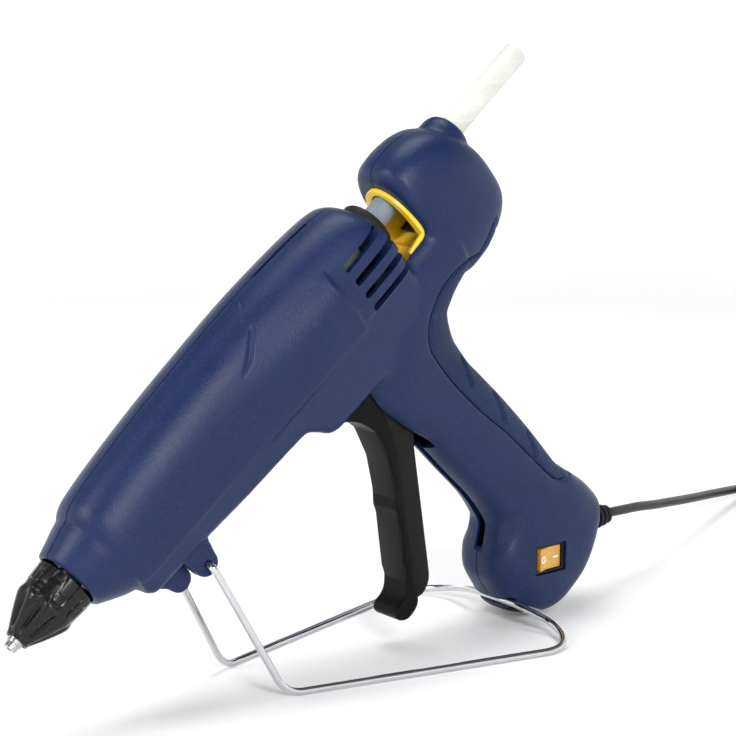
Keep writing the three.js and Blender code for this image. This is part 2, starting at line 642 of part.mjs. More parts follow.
// ---------------------------------------------------------------- switch and wiring
function switchPiece(outline, depth) {
  // The outline is in (along, y); it is extruded over the switch's width and turned level.
  const shape = new THREE.Shape(outline.map(([a, b]) => new THREE.Vector2(a, b)));
  const geometry = new THREE.ExtrudeGeometry(shape, { depth, bevelEnabled: false });
  geometry.translate(0, 0, -depth / 2);
  geometry.rotateY(PITCH);
  geometry.translate(SWITCH.s, 0, SWITCH.h);
  return solidOf(geometry);
}

function buildElectrics() {
  const frame = switchBox(0, -20.6, -4).subtract(switchBox(-1.2, -30, -9));
  put(gun, 'switch_frame', frame, black);
  const raised = -20.2 - 7.5 * Math.tan(THREE.MathUtils.degToRad(SWITCH.tilt));
  const rocker = switchPiece([[-7.5, raised], [0, -20.2], [7.5, -20.2], [7.5, -16], [0, -12],
    [-7.5, -16]], 11.2);
  put(gun, 'switch_rocker', rocker, amber);
  put(gun, 'control_board', box(224, 243, 7, 8.6, -160, -104), boardGreen);
  put(gun, 'board_relay', box(227, 240, -4, 6.7, -130, -112), black);
  const capacitor = new THREE.CylinderGeometry(4, 4, 10, 14);
  capacitor.translate(234, 1.6, -147);
  put(gun, 'board_capacitor', solidOf(capacitor), steel);
  put(gun, 'cord_clamp', box(231, 245, -6, 6, -206, -200.6), black);
  [['heater_lead_live', -2.2], ['heater_lead_neutral', 2.2]].forEach(([name, y]) => {
    const route = new THREE.CatmullRomCurve3([[221, -104], [219, -84], [221, -60], [220, -42],
      [200, -35.5], [180, -34],
      [160, -28], [142, -26], [130, -22.4]].map(([s, h]) => new THREE.Vector3(s, y * 4.8, h)));
    put(gun, name, bar(route, 1, 6, 26), silicone);
  });
}

// ---------------------------------------------------------------- stand
function standCorners(side) {
  const fromNozzle = (x, y, z) => new THREE.Vector3(NOZZLE_X + x, side * y, z);
  const eye = worldPoint(STAND_PIVOT.s, 0, STAND_PIVOT.h);
  const clip = worldPoint(STAND_CLIP.s, 0, STAND_CLIP.h);
  return [
    { p: new THREE.Vector3(eye.x, side * 9.6, eye.z) },
    { p: new THREE.Vector3(eye.x, side * 19, eye.z), cut: 3.4 },
    { p: fromNozzle(STAND_FRONT_X, STAND_FRONT_Y, WIRE_R), cut: 9 },
    { p: fromNozzle(STAND_FRONT_X + 142.7, STAND_REAR_Y, WIRE_R), cut: 15 },
    { p: fromNozzle(STAND_FRONT_X + 153.4, 38.8, 5.8), cut: 8 },
    { p: new THREE.Vector3(clip.x, side * 16, clip.z), cut: 7 },
  ];
}

function buildStand() {
  const path = new BentPath([...standCorners(-1), ...standCorners(1).reverse()]);
  path.arcLengthDivisions = 1200;
  put(glueGun, 'stand_wire', bar(path, WIRE_R, 7, 96), chrome);
}

// ---------------------------------------------------------------- cord
// The free stretch: straight out of the strain relief, down and away to the right, onto the floor
// and up to the coil.
const CORD_ROUTE = [
  [178.8, 2.1, 39.7], [190.8, 4.8, 38.5], [210.3, 10.3, 36], [230.2, 16.6, 32.4], [255.3, 26.2, 27.8],
  [283.7, 38, 22.4], [315.3, 52.4, 16.3], [346.5, 65.8, 10.4], [360.5, 71.1, 8], [372.7, 75.2, 6],
];
const CORD_TAIL = [[437.6, 26, 8.6], [437.5, 20, 7.9], [437.4, 15.3, 7.3], [PLUG.x, 12.4, PLUG.z]];

function curveThrough(points) {
  return new THREE.CatmullRomCurve3(points.map(([x, y, z]) => new THREE.Vector3(x, y, z)));
}

// A piece turned about an axis along x, from [[x, radius], ...].
function turnedAlongX(profile, sides) {
  const geometry = new THREE.LatheGeometry(profile.map(([x, r]) => new THREE.Vector2(r, x)), sides);
  geometry.rotateZ(-Math.PI / 2);
  return geometry;
}

function buildCord() {
  const relief = turnedAlongX([[-8, 0], [-8, 6.4], [-5.2, 6.4], [-5.2, 4.9], [1.8, 4.9], [1.8, 6.7],
    [11, 6.6],
    [11, 5.2], [12.6, 5.2], [12.6, 6.2], [15, 5.9], [15, 4.9], [16.6, 4.9], [16.6, 5.4], [21.2, 3.7],
    [21.2, 0]], 16);
  relief.translate(RELIEF.x, RELIEF.y, RELIEF.z);
  put(glueGun, 'strain_relief', solidOf(relief), rubber);
  put(glueGun, 'mains_cord', bar(curveThrough(CORD_ROUTE), CORD_R, 8, 24), rubber);
  put(glueGun, 'cord_tail', bar(curveThrough(CORD_TAIL), CORD_R, 8, 4), rubber);
}

function buildCoil() {
  const { x, y, inner, outer, bottom, top } = COIL;
  const profile = [[inner, bottom], [outer, bottom], [outer, top], [inner, top], [inner, bottom]];
  const coil = new THREE.LatheGeometry(profile.map(([r, z]) => new THREE.Vector2(r, z)), 28);
  coil.rotateX(Math.PI / 2);
  coil.translate(x, y, 0);
  put(glueGun, 'cord_coil', solidOf(coil), rubber);
  const band = { width: 5, thickness: 1.2 };
  const tie = new THREE.BoxGeometry(outer - inner + 2 * (band.thickness + GAP), band.width, top + 1.5);
  tie.translate(x - (inner + outer) / 2, y, (top + 1.5) / 2);
  const inside = new THREE.BoxGeometry(outer - inner + 2 * GAP, 2 * band.width, top - bottom + 2 * GAP);
  inside.translate(x - (inner + outer) / 2, y, (top + bottom) / 2);
  put(glueGun, 'coil_tie', solidOf(tie).subtract(solidOf(inside)), black);
}

function buildPlug() {
  const { x, y, z } = PLUG;
  const outline = new THREE.Shape();
  outline.moveTo(-13, -34);
  outline.lineTo(13, -34);
  outline.lineTo(13, -16);
  outline.quadraticCurveTo(12.6, -4, 5, -0.6);
  outline.lineTo(4.4, 14);
  outline.lineTo(-4.4, 14);
  outline.lineTo(-5, -0.6);
  outline.quadraticCurveTo(-12.6, -4, -13, -16);
  outline.closePath();
  const body = new THREE.ExtrudeGeometry(outline, {
    depth: 10, bevelThickness: 2, bevelSize: 1.6, bevelOffset: -1.6, bevelSegments: 1, curveSegments: 4,
  });
  body.translate(x, y, z - 5);
  put(glueGun, 'plug_body', solidOf(body), black);
  [['left', -9.3], ['right', 9.3]].forEach(([name, offset]) => {
    const pin = new THREE.LatheGeometry([[0, 0], [2, 0], [2, 16], [1.2, 18.7], [0, 19]]
      .map(([r, along]) => new THREE.Vector2(r, along)), 10);
    pin.rotateX(Math.PI);
    pin.translate(x + offset, y - 34 - GAP, z);
    put(glueGun, `plug_pin_${name}`, solidOf(pin), brass);
  });
}

// ---------------------------------------------------------------- assembly
buildHousing();
buildScrews();
buildStickPath();
buildNozzle();
buildHeater();
buildFeed();
buildTrigger();
buildElectrics();
buildStand();
buildCord();
buildCoil();
buildPlug();

export default glueGun;
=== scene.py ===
"""A corded hot-melt glue gun, standing nose-down on its wire stand.

Shapes are worked out in the gun's own frame, in millimetres: s runs along the glue stick from the
nozzle's mouth to the rear, y to the gun's right, h square to both and away from the handle.
place() moves them into the row's frame, in metres. -X is the nozzle end and -Y the near, left side.
"""
import json
import math

import bmesh
import bpy
import numpy as np
from mathutils import Matrix, Vector


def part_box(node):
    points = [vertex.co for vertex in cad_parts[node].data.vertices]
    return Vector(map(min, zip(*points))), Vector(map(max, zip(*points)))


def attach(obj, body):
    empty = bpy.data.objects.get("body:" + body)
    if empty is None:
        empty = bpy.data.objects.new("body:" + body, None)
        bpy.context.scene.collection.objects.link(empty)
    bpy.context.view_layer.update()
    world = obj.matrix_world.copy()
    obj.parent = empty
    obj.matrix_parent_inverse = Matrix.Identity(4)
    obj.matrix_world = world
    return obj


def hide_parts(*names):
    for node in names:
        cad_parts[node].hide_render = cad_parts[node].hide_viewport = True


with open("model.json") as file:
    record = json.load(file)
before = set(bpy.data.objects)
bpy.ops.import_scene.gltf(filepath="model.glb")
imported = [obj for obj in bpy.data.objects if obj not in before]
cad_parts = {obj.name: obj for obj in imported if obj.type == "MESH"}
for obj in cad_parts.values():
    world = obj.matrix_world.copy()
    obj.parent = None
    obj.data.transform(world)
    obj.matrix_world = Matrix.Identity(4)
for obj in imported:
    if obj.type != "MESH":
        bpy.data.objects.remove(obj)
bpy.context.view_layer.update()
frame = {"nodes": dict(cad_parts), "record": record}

MM = 0.001
MOUNTS = {mount["name"]: mount for mount in frame["record"]["mounts"]}
MOUTH = Vector(MOUNTS["nozzle_face"]["pos_m"])
ALONG = -Vector(MOUNTS["nozzle_face"]["axis"])
UP = Vector((-ALONG.z, 0, ALONG.x))
GUN = Matrix.Translation((MOUTH.x, 0, MOUTH.z)) @ Matrix(
    ((ALONG.x, 0, UP.x, 0), (0, 1, 0, 0), (ALONG.z, 0, UP.z, 0), (0, 0, 0, 1))
) @ Matrix.Scale(MM, 4)
PITCH = math.atan2(ALONG.z, ALONG.x)

WIRE_R = 1.75 * MM
CORD_R = 2.5 * MM
SEAM = 0.26  # half of the gap between the two shells
VOXEL = 0.7  # grain of the moulded shell's mesh
WALL = 2.6  # thickness of the shell


# ---------------------------------------------------------------- mesh tools
def new_object(name, data):
    piece = bpy.data.objects.new(name, data)
    bpy.context.scene.collection.objects.link(piece)
    return piece


def from_faces(name, points, faces):
    mesh = bpy.data.meshes.new(name)
    mesh.from_pydata([tuple(p) for p in points], [], faces)
    build = bmesh.new()
    build.from_mesh(mesh)
    bmesh.ops.recalc_face_normals(build, faces=build.faces)
    build.to_mesh(mesh)
    build.free()
    return new_object(name, mesh)


def ring_faces(rings, sides, closed=False):
    """Quads between neighbouring rings of points, and back from the last to the first if closed."""
    faces = []
    for row in range(rings if closed else rings - 1):
        below = (row + 1) % rings
        for i in range(sides):
            j = (i + 1) % sides
            faces.append((row * sides + i, row * sides + j, below * sides + j, below * sides + i))
    return faces


def loft(name, rings):
    """A closed body through rings of points, with flat ends."""
    rings = np.asarray(rings, float)
    rows, count, _ = rings.shape
    faces = ring_faces(rows, count)
    faces.append(tuple(range(count)))
    faces.append(tuple((rows - 1) * count + i for i in range(count)))
    return from_faces(name, rings.reshape(-1, 3), faces)


def slab(name, outline, y_low, y_high):
    """An outline in (s, h), as a plate between two values of y."""
    return loft(name, [[(s, y, h) for s, h in outline] for y in (y_low, y_high)])


def block(name, s_range, y_range, h_range):
    (s0, s1), (h0, h1) = s_range, h_range
    return slab(name, [(s0, h0), (s1, h0), (s1, h1), (s0, h1)], *y_range)


def turned(name, profile, sides=64, y=0.0, h=0.0):
    """A turned piece along s from [(s, radius), ...]; a profile that leaves the axis closes on itself."""
    angles = np.linspace(0, 2 * math.pi, sides, endpoint=False)
    rings = [[(s, y + r * math.cos(a), h + r * math.sin(a)) for a in angles] for s, r in profile]
    if profile[0] == profile[-1]:
        points = np.array(rings[:-1]).reshape(-1, 3)
        return from_faces(name, points, ring_faces(len(profile) - 1, sides, closed=True))
    return loft(name, rings)


def stadium(start, end, width, steps=8):
    """An outline with round ends about the line from start to end."""
    start, end = Vector(start), Vector(end)
    heading = math.atan2(end.y - start.y, end.x - start.x)
    outline = []
    for centre, turn in ((end, heading - math.pi / 2), (start, heading + math.pi / 2)):
        for i in range(steps + 1):
            a = turn + math.pi * i / steps
            outline.append((centre.x + width / 2 * math.cos(a), centre.y + width / 2 * math.sin(a)))
    return outline


def bake(piece):
    """The piece's modifiers become its mesh."""
    bpy.context.view_layer.update()
    evaluated = piece.evaluated_get(bpy.context.evaluated_depsgraph_get())
    mesh = bpy.data.meshes.new_from_object(evaluated)
    old = piece.data
    piece.modifiers.clear()
    piece.data = mesh
    bpy.data.meshes.remove(old)
    return piece


def combine(piece, other, operation):
    modifier = piece.modifiers.new("combine", "BOOLEAN")
    modifier.operation = operation
    modifier.object = other
    modifier.solver = "MANIFOLD"
    bake(piece)
    bpy.data.objects.remove(other)
    return piece


def cut(piece, *tools):
    for tool in tools:
        combine(piece, tool, "DIFFERENCE")
    return piece


def copy_of(piece, name):
    return new_object(name, piece.data.copy())


def join_up(name, pieces):
    """Several closed bodies in one mesh, still overlapping."""
    build = bmesh.new()
    for piece in pieces:
        build.from_mesh(piece.data)
        bpy.data.objects.remove(piece)
    mesh = bpy.data.meshes.new(name)
    build.to_mesh(mesh)
    build.free()
    return new_object(name, mesh)


def remesh(piece, voxel):
    modifier = piece.modifiers.new("remesh", "REMESH")
    modifier.mode = "VOXEL"
    modifier.voxel_size = voxel
    return bake(piece)


def relax(piece, rounds, weights=None, factor=0.5):
    """Evens the surface out, by each vertex's weight where weights are given."""
    modifier = piece.modifiers.new("relax", "SMOOTH")
    modifier.factor = factor
    modifier.iterations = rounds
    if weights is not None:
        group = piece.vertex_groups.new(name="relax")
        for i in np.nonzero(weights > 0.02)[0]:
            group.add([int(i)], float(weights[i]), "REPLACE")
        modifier.vertex_group = "relax"
    bake(piece)
    piece.vertex_groups.clear()
    return piece


def corners(piece, what="co"):
    """Each vertex's place, or with "normal" its normal."""
    found = np.empty(len(piece.data.vertices) * 3, np.float32)
    piece.data.vertices.foreach_get(what, found)
    return found.reshape(-1, 3).astype(float)


def move_to(piece, points):
    piece.data.vertices.foreach_set("co", points.astype(np.float32).ravel())
    piece.data.update()
    return piece


def push(piece, distance):
    """Moves each vertex along its normal."""
    return move_to(piece, corners(piece) + corners(piece, "normal") * distance[:, None])


def soften(piece, width, segments=3, angle=30):
    modifier = piece.modifiers.new("bevel", "BEVEL")
    modifier.width = width
    modifier.segments = segments
    modifier.limit_method = "ANGLE"
    modifier.angle_limit = math.radians(angle)
    return bake(piece)


def shade(piece, angle=40):
    """Smooth shading, with edges sharper than angle kept."""
    mesh = piece.data
    mesh.polygons.foreach_set("use_smooth", [True] * len(mesh.polygons))
    mesh.set_sharp_from_angle(angle=math.radians(angle))
    return piece


def place(piece, body, material, slot, *nodes, matrix=GUN, angle=40):
    """Brings a finished piece into the row's frame, on its body, in place of its CAD nodes."""
    piece.data.transform(matrix)
    shade(piece, angle)
    piece.data.materials.clear()
    piece.data.materials.append(material)
    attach(piece, body)
    if nodes:
        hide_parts(*nodes)
    return piece


def smooth_step(low, high, value):
    t = np.clip((value - low) / (high - low), 0, 1)
    return t * t * (3 - 2 * t)


def monotone(xs, ys, wanted):
    """Values at wanted on a smooth curve through (xs, ys) that never overshoots them."""
    xs, ys, wanted = (np.asarray(v, float) for v in (xs, ys, wanted))
    slope = np.diff(ys) / np.diff(xs)
    tangent = np.zeros(len(xs))
    for i in range(1, len(xs) - 1):
        if slope[i - 1] * slope[i] > 0:
            tangent[i] = 2 * slope[i - 1] * slope[i] / (slope[i - 1] + slope[i])
    tangent[0], tangent[-1] = slope[0], slope[-1]
    at = np.clip(np.searchsorted(xs, wanted) - 1, 0, len(xs) - 2)
    width = xs[at + 1] - xs[at]
    t = (wanted - xs[at]) / width
    return (
        (2 * t**3 - 3 * t**2 + 1) * ys[at]
        + (t**3 - 2 * t**2 + t) * width * tangent[at]
        + (3 * t**2 - 2 * t**3) * ys[at + 1]
        + (t**3 - t**2) * width * tangent[at + 1]
    )


def between(stations, steps):
    """Stations [(position, value, ...), ...] with steps rows for each stretch, on smooth curves."""
    table = np.array(sorted(stations), float)
    at = np.unique(
        np.concatenate([np.linspace(a, b, steps + 1) for a, b in zip(table[:-1, 0], table[1:, 0])])
    )
    return np.column_stack(
        [at] + [monotone(table[:, 0], table[:, k], at) for k in range(1, table.shape[1])]
    )


def superellipse(half, top, bottom, power, count=72):
    """Points (y, h) round a box-like or round section."""
    angle = np.linspace(0, 2 * math.pi, count, endpoint=False)
    c, s = np.cos(angle), np.sin(angle)
    y = half * np.sign(c) * np.abs(c) ** (2 / power)
    h = (top + bottom) / 2 + (top - bottom) / 2 * np.sign(s) * np.abs(s) ** (2 / power)
    return np.column_stack([y, h])


def barrel_section(half, top, bottom, inset=0.0):
    """A round crown down to a ridge low on each side, and flanks leaning in to a flat underside."""
    angle = np.linspace(0, math.pi, 49)
    c = np.cos(angle)
    belt = -6
    crown = np.column_stack(
        [half * np.sign(c) * np.abs(c) ** 0.9, belt + (top - belt) * np.sin(angle) ** 0.95]
    )
    ridge = -15.7 + 0.3 * inset
    foot = min(17.5, 0.76 * half) - 0.6 * inset
    flank = np.array([
        (half - 0.4, ridge), (half - 1.6, ridge - 1.6), (foot + 1.6, bottom + 3), (foot, bottom + 0.8),
        (foot - 2.4, bottom), (0.45 * foot, bottom),
    ])
    return np.vstack([crown, flank * (-1, 1), flank[::-1]])


def bridge_section(half, top, bottom):
    """Square above, where the window's floor lies, and round below."""
    square, round_one = superellipse(half, top, bottom, 3.4), superellipse(half, top, bottom, 2.1)
    return np.where(square[:, 1:] < (top + bottom) / 2, round_one, square)


def along_s(name, stations, section, steps=5):
    rings = []
    for s, half, top, bottom in between(stations, steps):
        ring = section(half, top, bottom)
        rings.append(np.column_stack([np.full(len(ring), s), ring]))
    return loft(name, rings)


def along_h(name, stations, inset=0.0, power=2.5, steps=5):
    rings = []
    for h, half, front, back in between(stations, steps):
        blunt = power + 0.9 * float(1 - smooth_step(-184, -166, h))
        ring = superellipse(half - inset, back - inset, front + inset, blunt)
        rings.append(np.column_stack([ring[:, 1], ring[:, 0], np.full(len(ring), h)]))
    return loft(name, rings)


def bend_points(a, b, c, shares):
    """Points at shares of the way along the parabola from a, towards b, to c."""
    return [(1 - t) ** 2 * a + 2 * t * (1 - t) * b + t * t * c for t in shares]


def spot(s, h, s_at, h_at, s_reach, h_reach):
    """1 at (s_at, h_at), fading out smoothly over its reach in each direction."""
    return np.exp(-(((s - s_at) / s_reach) ** 2 + ((h - h_at) / h_reach) ** 2))


def curve_points(start, *bends):
    """An outline from start through bends: each is a corner (s, h), or (control s, h, end s, h)."""
    outline = [start]
    for bend in bends:
        if len(bend) == 2:
            outline.append(bend)
            continue
        a, b, c = Vector(outline[-1]), Vector(bend[:2]), Vector(bend[2:])
        outline += [tuple(p) for p in bend_points(a, b, c, (k / 8 for k in range(1, 9)))]
    return outline


def to_line(points, line):
    """Distance of each point from a chain of straight lines, and how far along the chain it is, 0 to 1."""
    line = np.asarray(line, float)
    best = np.full(len(points), 1e9)
    share = np.zeros(len(points))
    for i in range(len(line) - 1):
        a, d = line[i], line[i + 1] - line[i]
        t = np.clip(((points - a) @ d) / (d @ d), 0, 1)
        gap = np.linalg.norm(points - (a + t[:, None] * d), axis=1)
        nearer = gap < best
        best[nearer] = gap[nearer]
        share[nearer] = (i + t[nearer]) / (len(line) - 1)
    return best, share


# ---------------------------------------------------------------- materials
class Nodes:
    """A node material in the making. Lengths in its textures are in metres."""

    def __init__(self, name, color, roughness, **fixed):
        self.material = bpy.data.materials.new(name)
        self.material.use_nodes = True
        self.tree = self.material.node_tree
        self.shader = self.tree.nodes["Principled BSDF"]
        self.color = color
        self.shader.inputs["Base Color"].default_value = (*color, 1)
        self.shader.inputs["Roughness"].default_value = roughness
        for socket, value in fixed.items():
            self.shader.inputs[socket.replace("_", " ")].default_value = value
        self.place = self.tree.nodes.new("ShaderNodeTexCoord").outputs["Object"]

    def add(self, kind, **settings):
        node = self.tree.nodes.new(kind)
        for key, value in settings.items():
            setattr(node, key, value)
        return node

    def link(self, source, target):
        self.tree.links.new(source, target)

    def noise(self, size, detail=2.0, stretch=None, roughness=0.5):
        """Cloudy noise with blobs of about size metres."""
        node = self.add("ShaderNodeTexNoise")
        node.inputs["Scale"].default_value = 1 / size
        node.inputs["Detail"].default_value = detail
        node.inputs["Roughness"].default_value = roughness
        place = self.place
        if stretch:
            mapping = self.add("ShaderNodeMapping")
            mapping.inputs["Scale"].default_value = stretch
            mapping.inputs["Rotation"].default_value = (0, PITCH, 0)
            self.link(place, mapping.inputs["Vector"])
            place = mapping.outputs["Vector"]
        self.link(place, node.inputs["Vector"])
        return node.outputs["Fac"]

    def math(self, operation, a, b=0.0):
        node = self.add("ShaderNodeMath", operation=operation)
        for socket, value in zip(node.inputs, (a, b)):
            if isinstance(value, (int, float)):
                socket.default_value = value
            else:
                self.link(value, socket)
        return node.outputs[0]

    def spread(self, value, low, high, to_low=0.0, to_high=1.0):
        node = self.add("ShaderNodeMapRange")
        for socket, number in zip(
            ("From Min", "From Max", "To Min", "To Max"), (low, high, to_low, to_high)
        ):
            node.inputs[socket].default_value = number
        self.link(value, node.inputs["Value"])
        return node.outputs["Result"]

    def tint(self, factor, color, amount=1.0):
        """Mixes another colour in, where factor says, over what the base colour has so far."""
        node = self.add("ShaderNodeMix", data_type="RGBA")
        if amount != 1.0:
            factor = self.math("MULTIPLY", factor, amount)
        self.link(factor, node.inputs["Factor"])
        target = self.shader.inputs["Base Color"]
        if target.links:
            self.link(target.links[0].from_socket, node.inputs["A"])
        else:
            node.inputs["A"].default_value = (*self.color, 1)
        node.inputs["B"].default_value = (*color, 1)
        self.link(node.outputs["Result"], target)

    def rough(self, value, low, high):
        self.link(self.spread(value, 0.3, 0.7, low, high), self.shader.inputs["Roughness"])

    def bump(self, height, depth, strength=1.0):
        node = self.add("ShaderNodeBump")
        node.inputs["Strength"].default_value = strength
        node.inputs["Distance"].default_value = depth
        self.link(height, node.inputs["Height"])
        target = self.shader.inputs["Normal"]
        if target.links:
            self.link(target.links[0].from_socket, node.inputs["Normal"])
        self.link(node.outputs["Normal"], target)

    def edges(self, low=0.53, high=0.62):
        """1 on convex edges, where handling wears the surface."""
        return self.spread(self.add("ShaderNodeNewGeometry").outputs["Pointiness"], low, high)

    def gun_axis(self, s_share, y_share, h_share):
        """A length across the gun: so much of each of its own three directions, in metres."""
        direction = ALONG * s_share + UP * h_share + Vector((0, y_share, 0))
        node = self.add("ShaderNodeVectorMath", operation="DOT_PRODUCT")
        self.link(self.place, node.inputs[0])
        node.inputs[1].default_value = direction
        return node.outputs["Value"]


def lighter(color, factor):
    return tuple(min(1, channel * factor) for channel in color)


def moulded(name, color, roughness, grain=0.0009, depth=0.00004, speckle=1.5, worn=1.6, **fixed):
    """Moulded plastic: a fine grain, cloudy gloss, and edges rubbed a little lighter."""
    m = Nodes(name, color, roughness, **fixed)
    fine = m.noise(grain, detail=3)
    cloud = m.noise(0.03, detail=3)
    m.tint(m.spread(cloud, 0.3, 0.7), lighter(color, 1.16))
    m.tint(m.spread(fine, 0.56, 0.68), lighter(color, speckle), 0.5)
    m.tint(m.spread(fine, 0.44, 0.34), lighter(color, 0.7), 0.5)
    m.tint(m.edges(), lighter(color, worn), 0.35)
    m.rough(
        m.math("ADD", m.math("MULTIPLY", cloud, 0.5), m.math("MULTIPLY", fine, 0.5)), roughness - 0.07,
        roughness + 0.07
    )
    m.bump(fine, depth)
    return m


def metal(name, color, roughness, grain=0.0006, stretch=None, depth=0.000004, marks=0.75):
    """Metal: faint drawing or machining marks, a little tarnish, brighter edges."""
    m = Nodes(name, color, roughness, Metallic=1.0)
    fine = m.noise(grain, detail=4, stretch=stretch)
    cloud = m.noise(0.012, detail=3)
    m.tint(m.spread(cloud, 0.45, 0.75), lighter(color, marks), 0.5)
    m.tint(m.edges(), lighter(color, 1.2), 0.4)
    m.rough(
        m.math("ADD", m.math("MULTIPLY", cloud, 0.5), m.math("MULTIPLY", fine, 0.5)), roughness * 0.7,
        roughness * 1.4
    )
    m.bump(fine, depth)
    return m


NAVY = (0.0042, 0.0138, 0.056)
housing_look = moulded("housing_look", NAVY, 0.40, grain=0.0009, depth=0.00013, speckle=2.4, worn=1.6,
                       Specular_IOR_Level=0.26)


def grip_look():
    """Soft-touch inlay: a diamond net above, fine ribs across the grip below."""
    color = (0.0060, 0.0165, 0.054)
    m = moulded("grip_look", color, 0.6, grain=0.0006, depth=0.00002, worn=1.3, Specular_IOR_Level=0.22)
    pitch = 0.0019
    u = m.gun_axis(1, 1, 0)
    v = m.gun_axis(0, 0, 1)
    wave = 2 * math.pi / pitch
    first = m.math("SINE", m.math("MULTIPLY", m.math("ADD", u, v), wave))
    second = m.math("SINE", m.math("MULTIPLY", m.math("SUBTRACT", u, v), wave))
    net = m.math("MULTIPLY", first, second)
    ribs = m.math("SINE", m.math("MULTIPLY", m.gun_axis(0.35, 0, 1), 2 * math.pi / 0.0016))
    height = m.gun_axis(0, 0, 1)
    level = MOUTH.dot(UP)
    low = m.spread(height, level - 0.104, level - 0.088, 1.0, 0.0)
    mix = m.add("ShaderNodeMix", data_type="FLOAT")
    m.link(low, mix.inputs["Factor"])
    m.link(net, mix.inputs["A"])
    m.link(ribs, mix.inputs["B"])
    pattern = m.spread(mix.outputs["Result"], -0.5, 0.5)
    m.tint(pattern, lighter(color, 2.1), 0.7)
    m.bump(pattern, 0.0004)
    return m


grip_material = grip_look()
trigger_look = moulded(
    "trigger_look", (0.0020, 0.0018, 0.0021), 0.4, grain=0.0008, depth=0.00002, speckle=1.4, worn=2.2,
    Specular_IOR_Level=0.10
)
web_look = moulded(
    "web_look", (0.0035, 0.0035, 0.0040), 0.5, grain=0.0007, depth=0.00002, speckle=1.5, worn=2.0,
    Specular_IOR_Level=0.16
)
cover_look = moulded(
    "cover_look", (0.0030, 0.0028, 0.0031), 0.24, grain=0.0012, depth=0.00002, speckle=1.2, worn=3.0,
    Specular_IOR_Level=0.3
)
black_look = moulded("black_look", (0.005, 0.005, 0.0054), 0.45, worn=2.0, Specular_IOR_Level=0.3)
rubber_look = moulded("rubber_look", (0.0055, 0.0055, 0.006), 0.6, grain=0.0005, depth=0.00003, worn=1.8,
                       Specular_IOR_Level=0.25)
cord_look = moulded("cord_look", (0.006, 0.006, 0.0066), 0.42, grain=0.0008, depth=0.00002, worn=1.2,
                     Specular_IOR_Level=0.3)
plug_look = moulded("plug_look", (0.012, 0.012, 0.013), 0.4, worn=2.2)
guide_look = moulded(
    "guide_look", (0.90, 0.56, 0.03), 0.33, grain=0.0012, depth=0.00001, speckle=1.05, worn=1.1
)
ceramic_look = moulded(
    "ceramic_look", (0.66, 0.63, 0.55), 0.75, grain=0.0005, depth=0.00002, speckle=1.1, worn=1.1
)
silicone_look = moulded("silicone_look", (0.40, 0.07, 0.045), 0.6, grain=0.0008, depth=0.00001, worn=1.2)
board_look = moulded("board_look", (0.02, 0.13, 0.055), 0.45, grain=0.0014, depth=0.00002, worn=1.3)
mark_look = moulded(
    "mark_look", (0.88, 0.86, 0.80), 0.45, grain=0.0006, depth=0.00001, speckle=1.05, worn=1.0
)
chrome_look = metal("chrome_look", (0.60, 0.60, 0.62), 0.07, grain=0.0008, depth=0.000001, marks=0.9)
steel_look = metal("steel_look", (0.60, 0.60, 0.61), 0.28, grain=0.0004)
tip_look = metal("tip_look", (0.50, 0.49, 0.48), 0.22, grain=0.0004, marks=0.6)
brass_look = metal("brass_look", (0.74, 0.58, 0.28), 0.22, grain=0.0004)
aluminium_look = metal("aluminium_look", (0.60, 0.60, 0.62), 0.42, grain=0.0007, depth=0.00001)


def glue_material():
    """Milky glue: the light goes in and scatters; a frosted surface with faint flow lines, and painted
    shade that darkens the stick inside the gun and in its window.
    """
    color = (0.62, 0.62, 0.575)
    m = Nodes("glue_look", color, 0.33, Subsurface_Weight=0.5, Subsurface_Scale=0.004, IOR=1.48)
    m.shader.inputs["Subsurface Radius"].default_value = (1.0, 0.95, 0.85)
    flow = m.noise(0.002, detail=3, stretch=(0.08, 1, 1))
    cloud = m.noise(0.012, detail=2)
    m.tint(m.spread(cloud, 0.35, 0.7), (0.56, 0.565, 0.535))
    m.tint(m.spread(flow, 0.5, 0.7), (0.70, 0.70, 0.66), 0.5)
    # Painted shade: the stick turns dark bluish grey where it lies inside the housing, fully up to about
    # 272 mm from the nozzle's mouth, fading out by 296 mm.
    painted_inside_shade = m.spread(m.gun_axis(1, 0, 0), MOUTH.dot(ALONG) + 0.272, MOUTH.dot(ALONG) + 0.296, 1.0, 0.0)
    m.tint(painted_inside_shade, (0.15, 0.19, 0.23), 0.9)
    m.rough(flow, 0.26, 0.42)
    m.bump(flow, 0.00003)
    return m


def amber_material():
    """Clear amber rocker, deeper towards its edges."""
    color = (0.70, 0.40, 0.04)
    m = Nodes(
        "amber_look", color, 0.2, Transmission_Weight=0.2, IOR=1.49, Coat_Weight=0.4, Coat_Roughness=0.12
    )
    cloud = m.noise(0.004, detail=2)
    m.tint(m.spread(cloud, 0.35, 0.7), (0.78, 0.50, 0.07), 0.7)
    m.tint(m.edges(0.5, 0.6), (0.55, 0.16, 0.012), 0.75)
    m.rough(cloud, 0.14, 0.28)
    m.bump(m.noise(0.0006), 0.000004)
    return m


glue_look = glue_material()
amber_look = amber_material()


# ---------------------------------------------------------------- camera, floor and light
camera = new_object("camera", bpy.data.cameras.new("camera"))
camera.location = (-0.6206, -0.7749, 0.3465)
camera.rotation_euler = (math.radians(78.28), 0, math.radians(-39.48))
camera.data.lens = 108.27
camera.data.sensor_width = 36
bpy.context.scene.camera = camera
bpy.context.scene.view_settings.view_transform = "Standard"


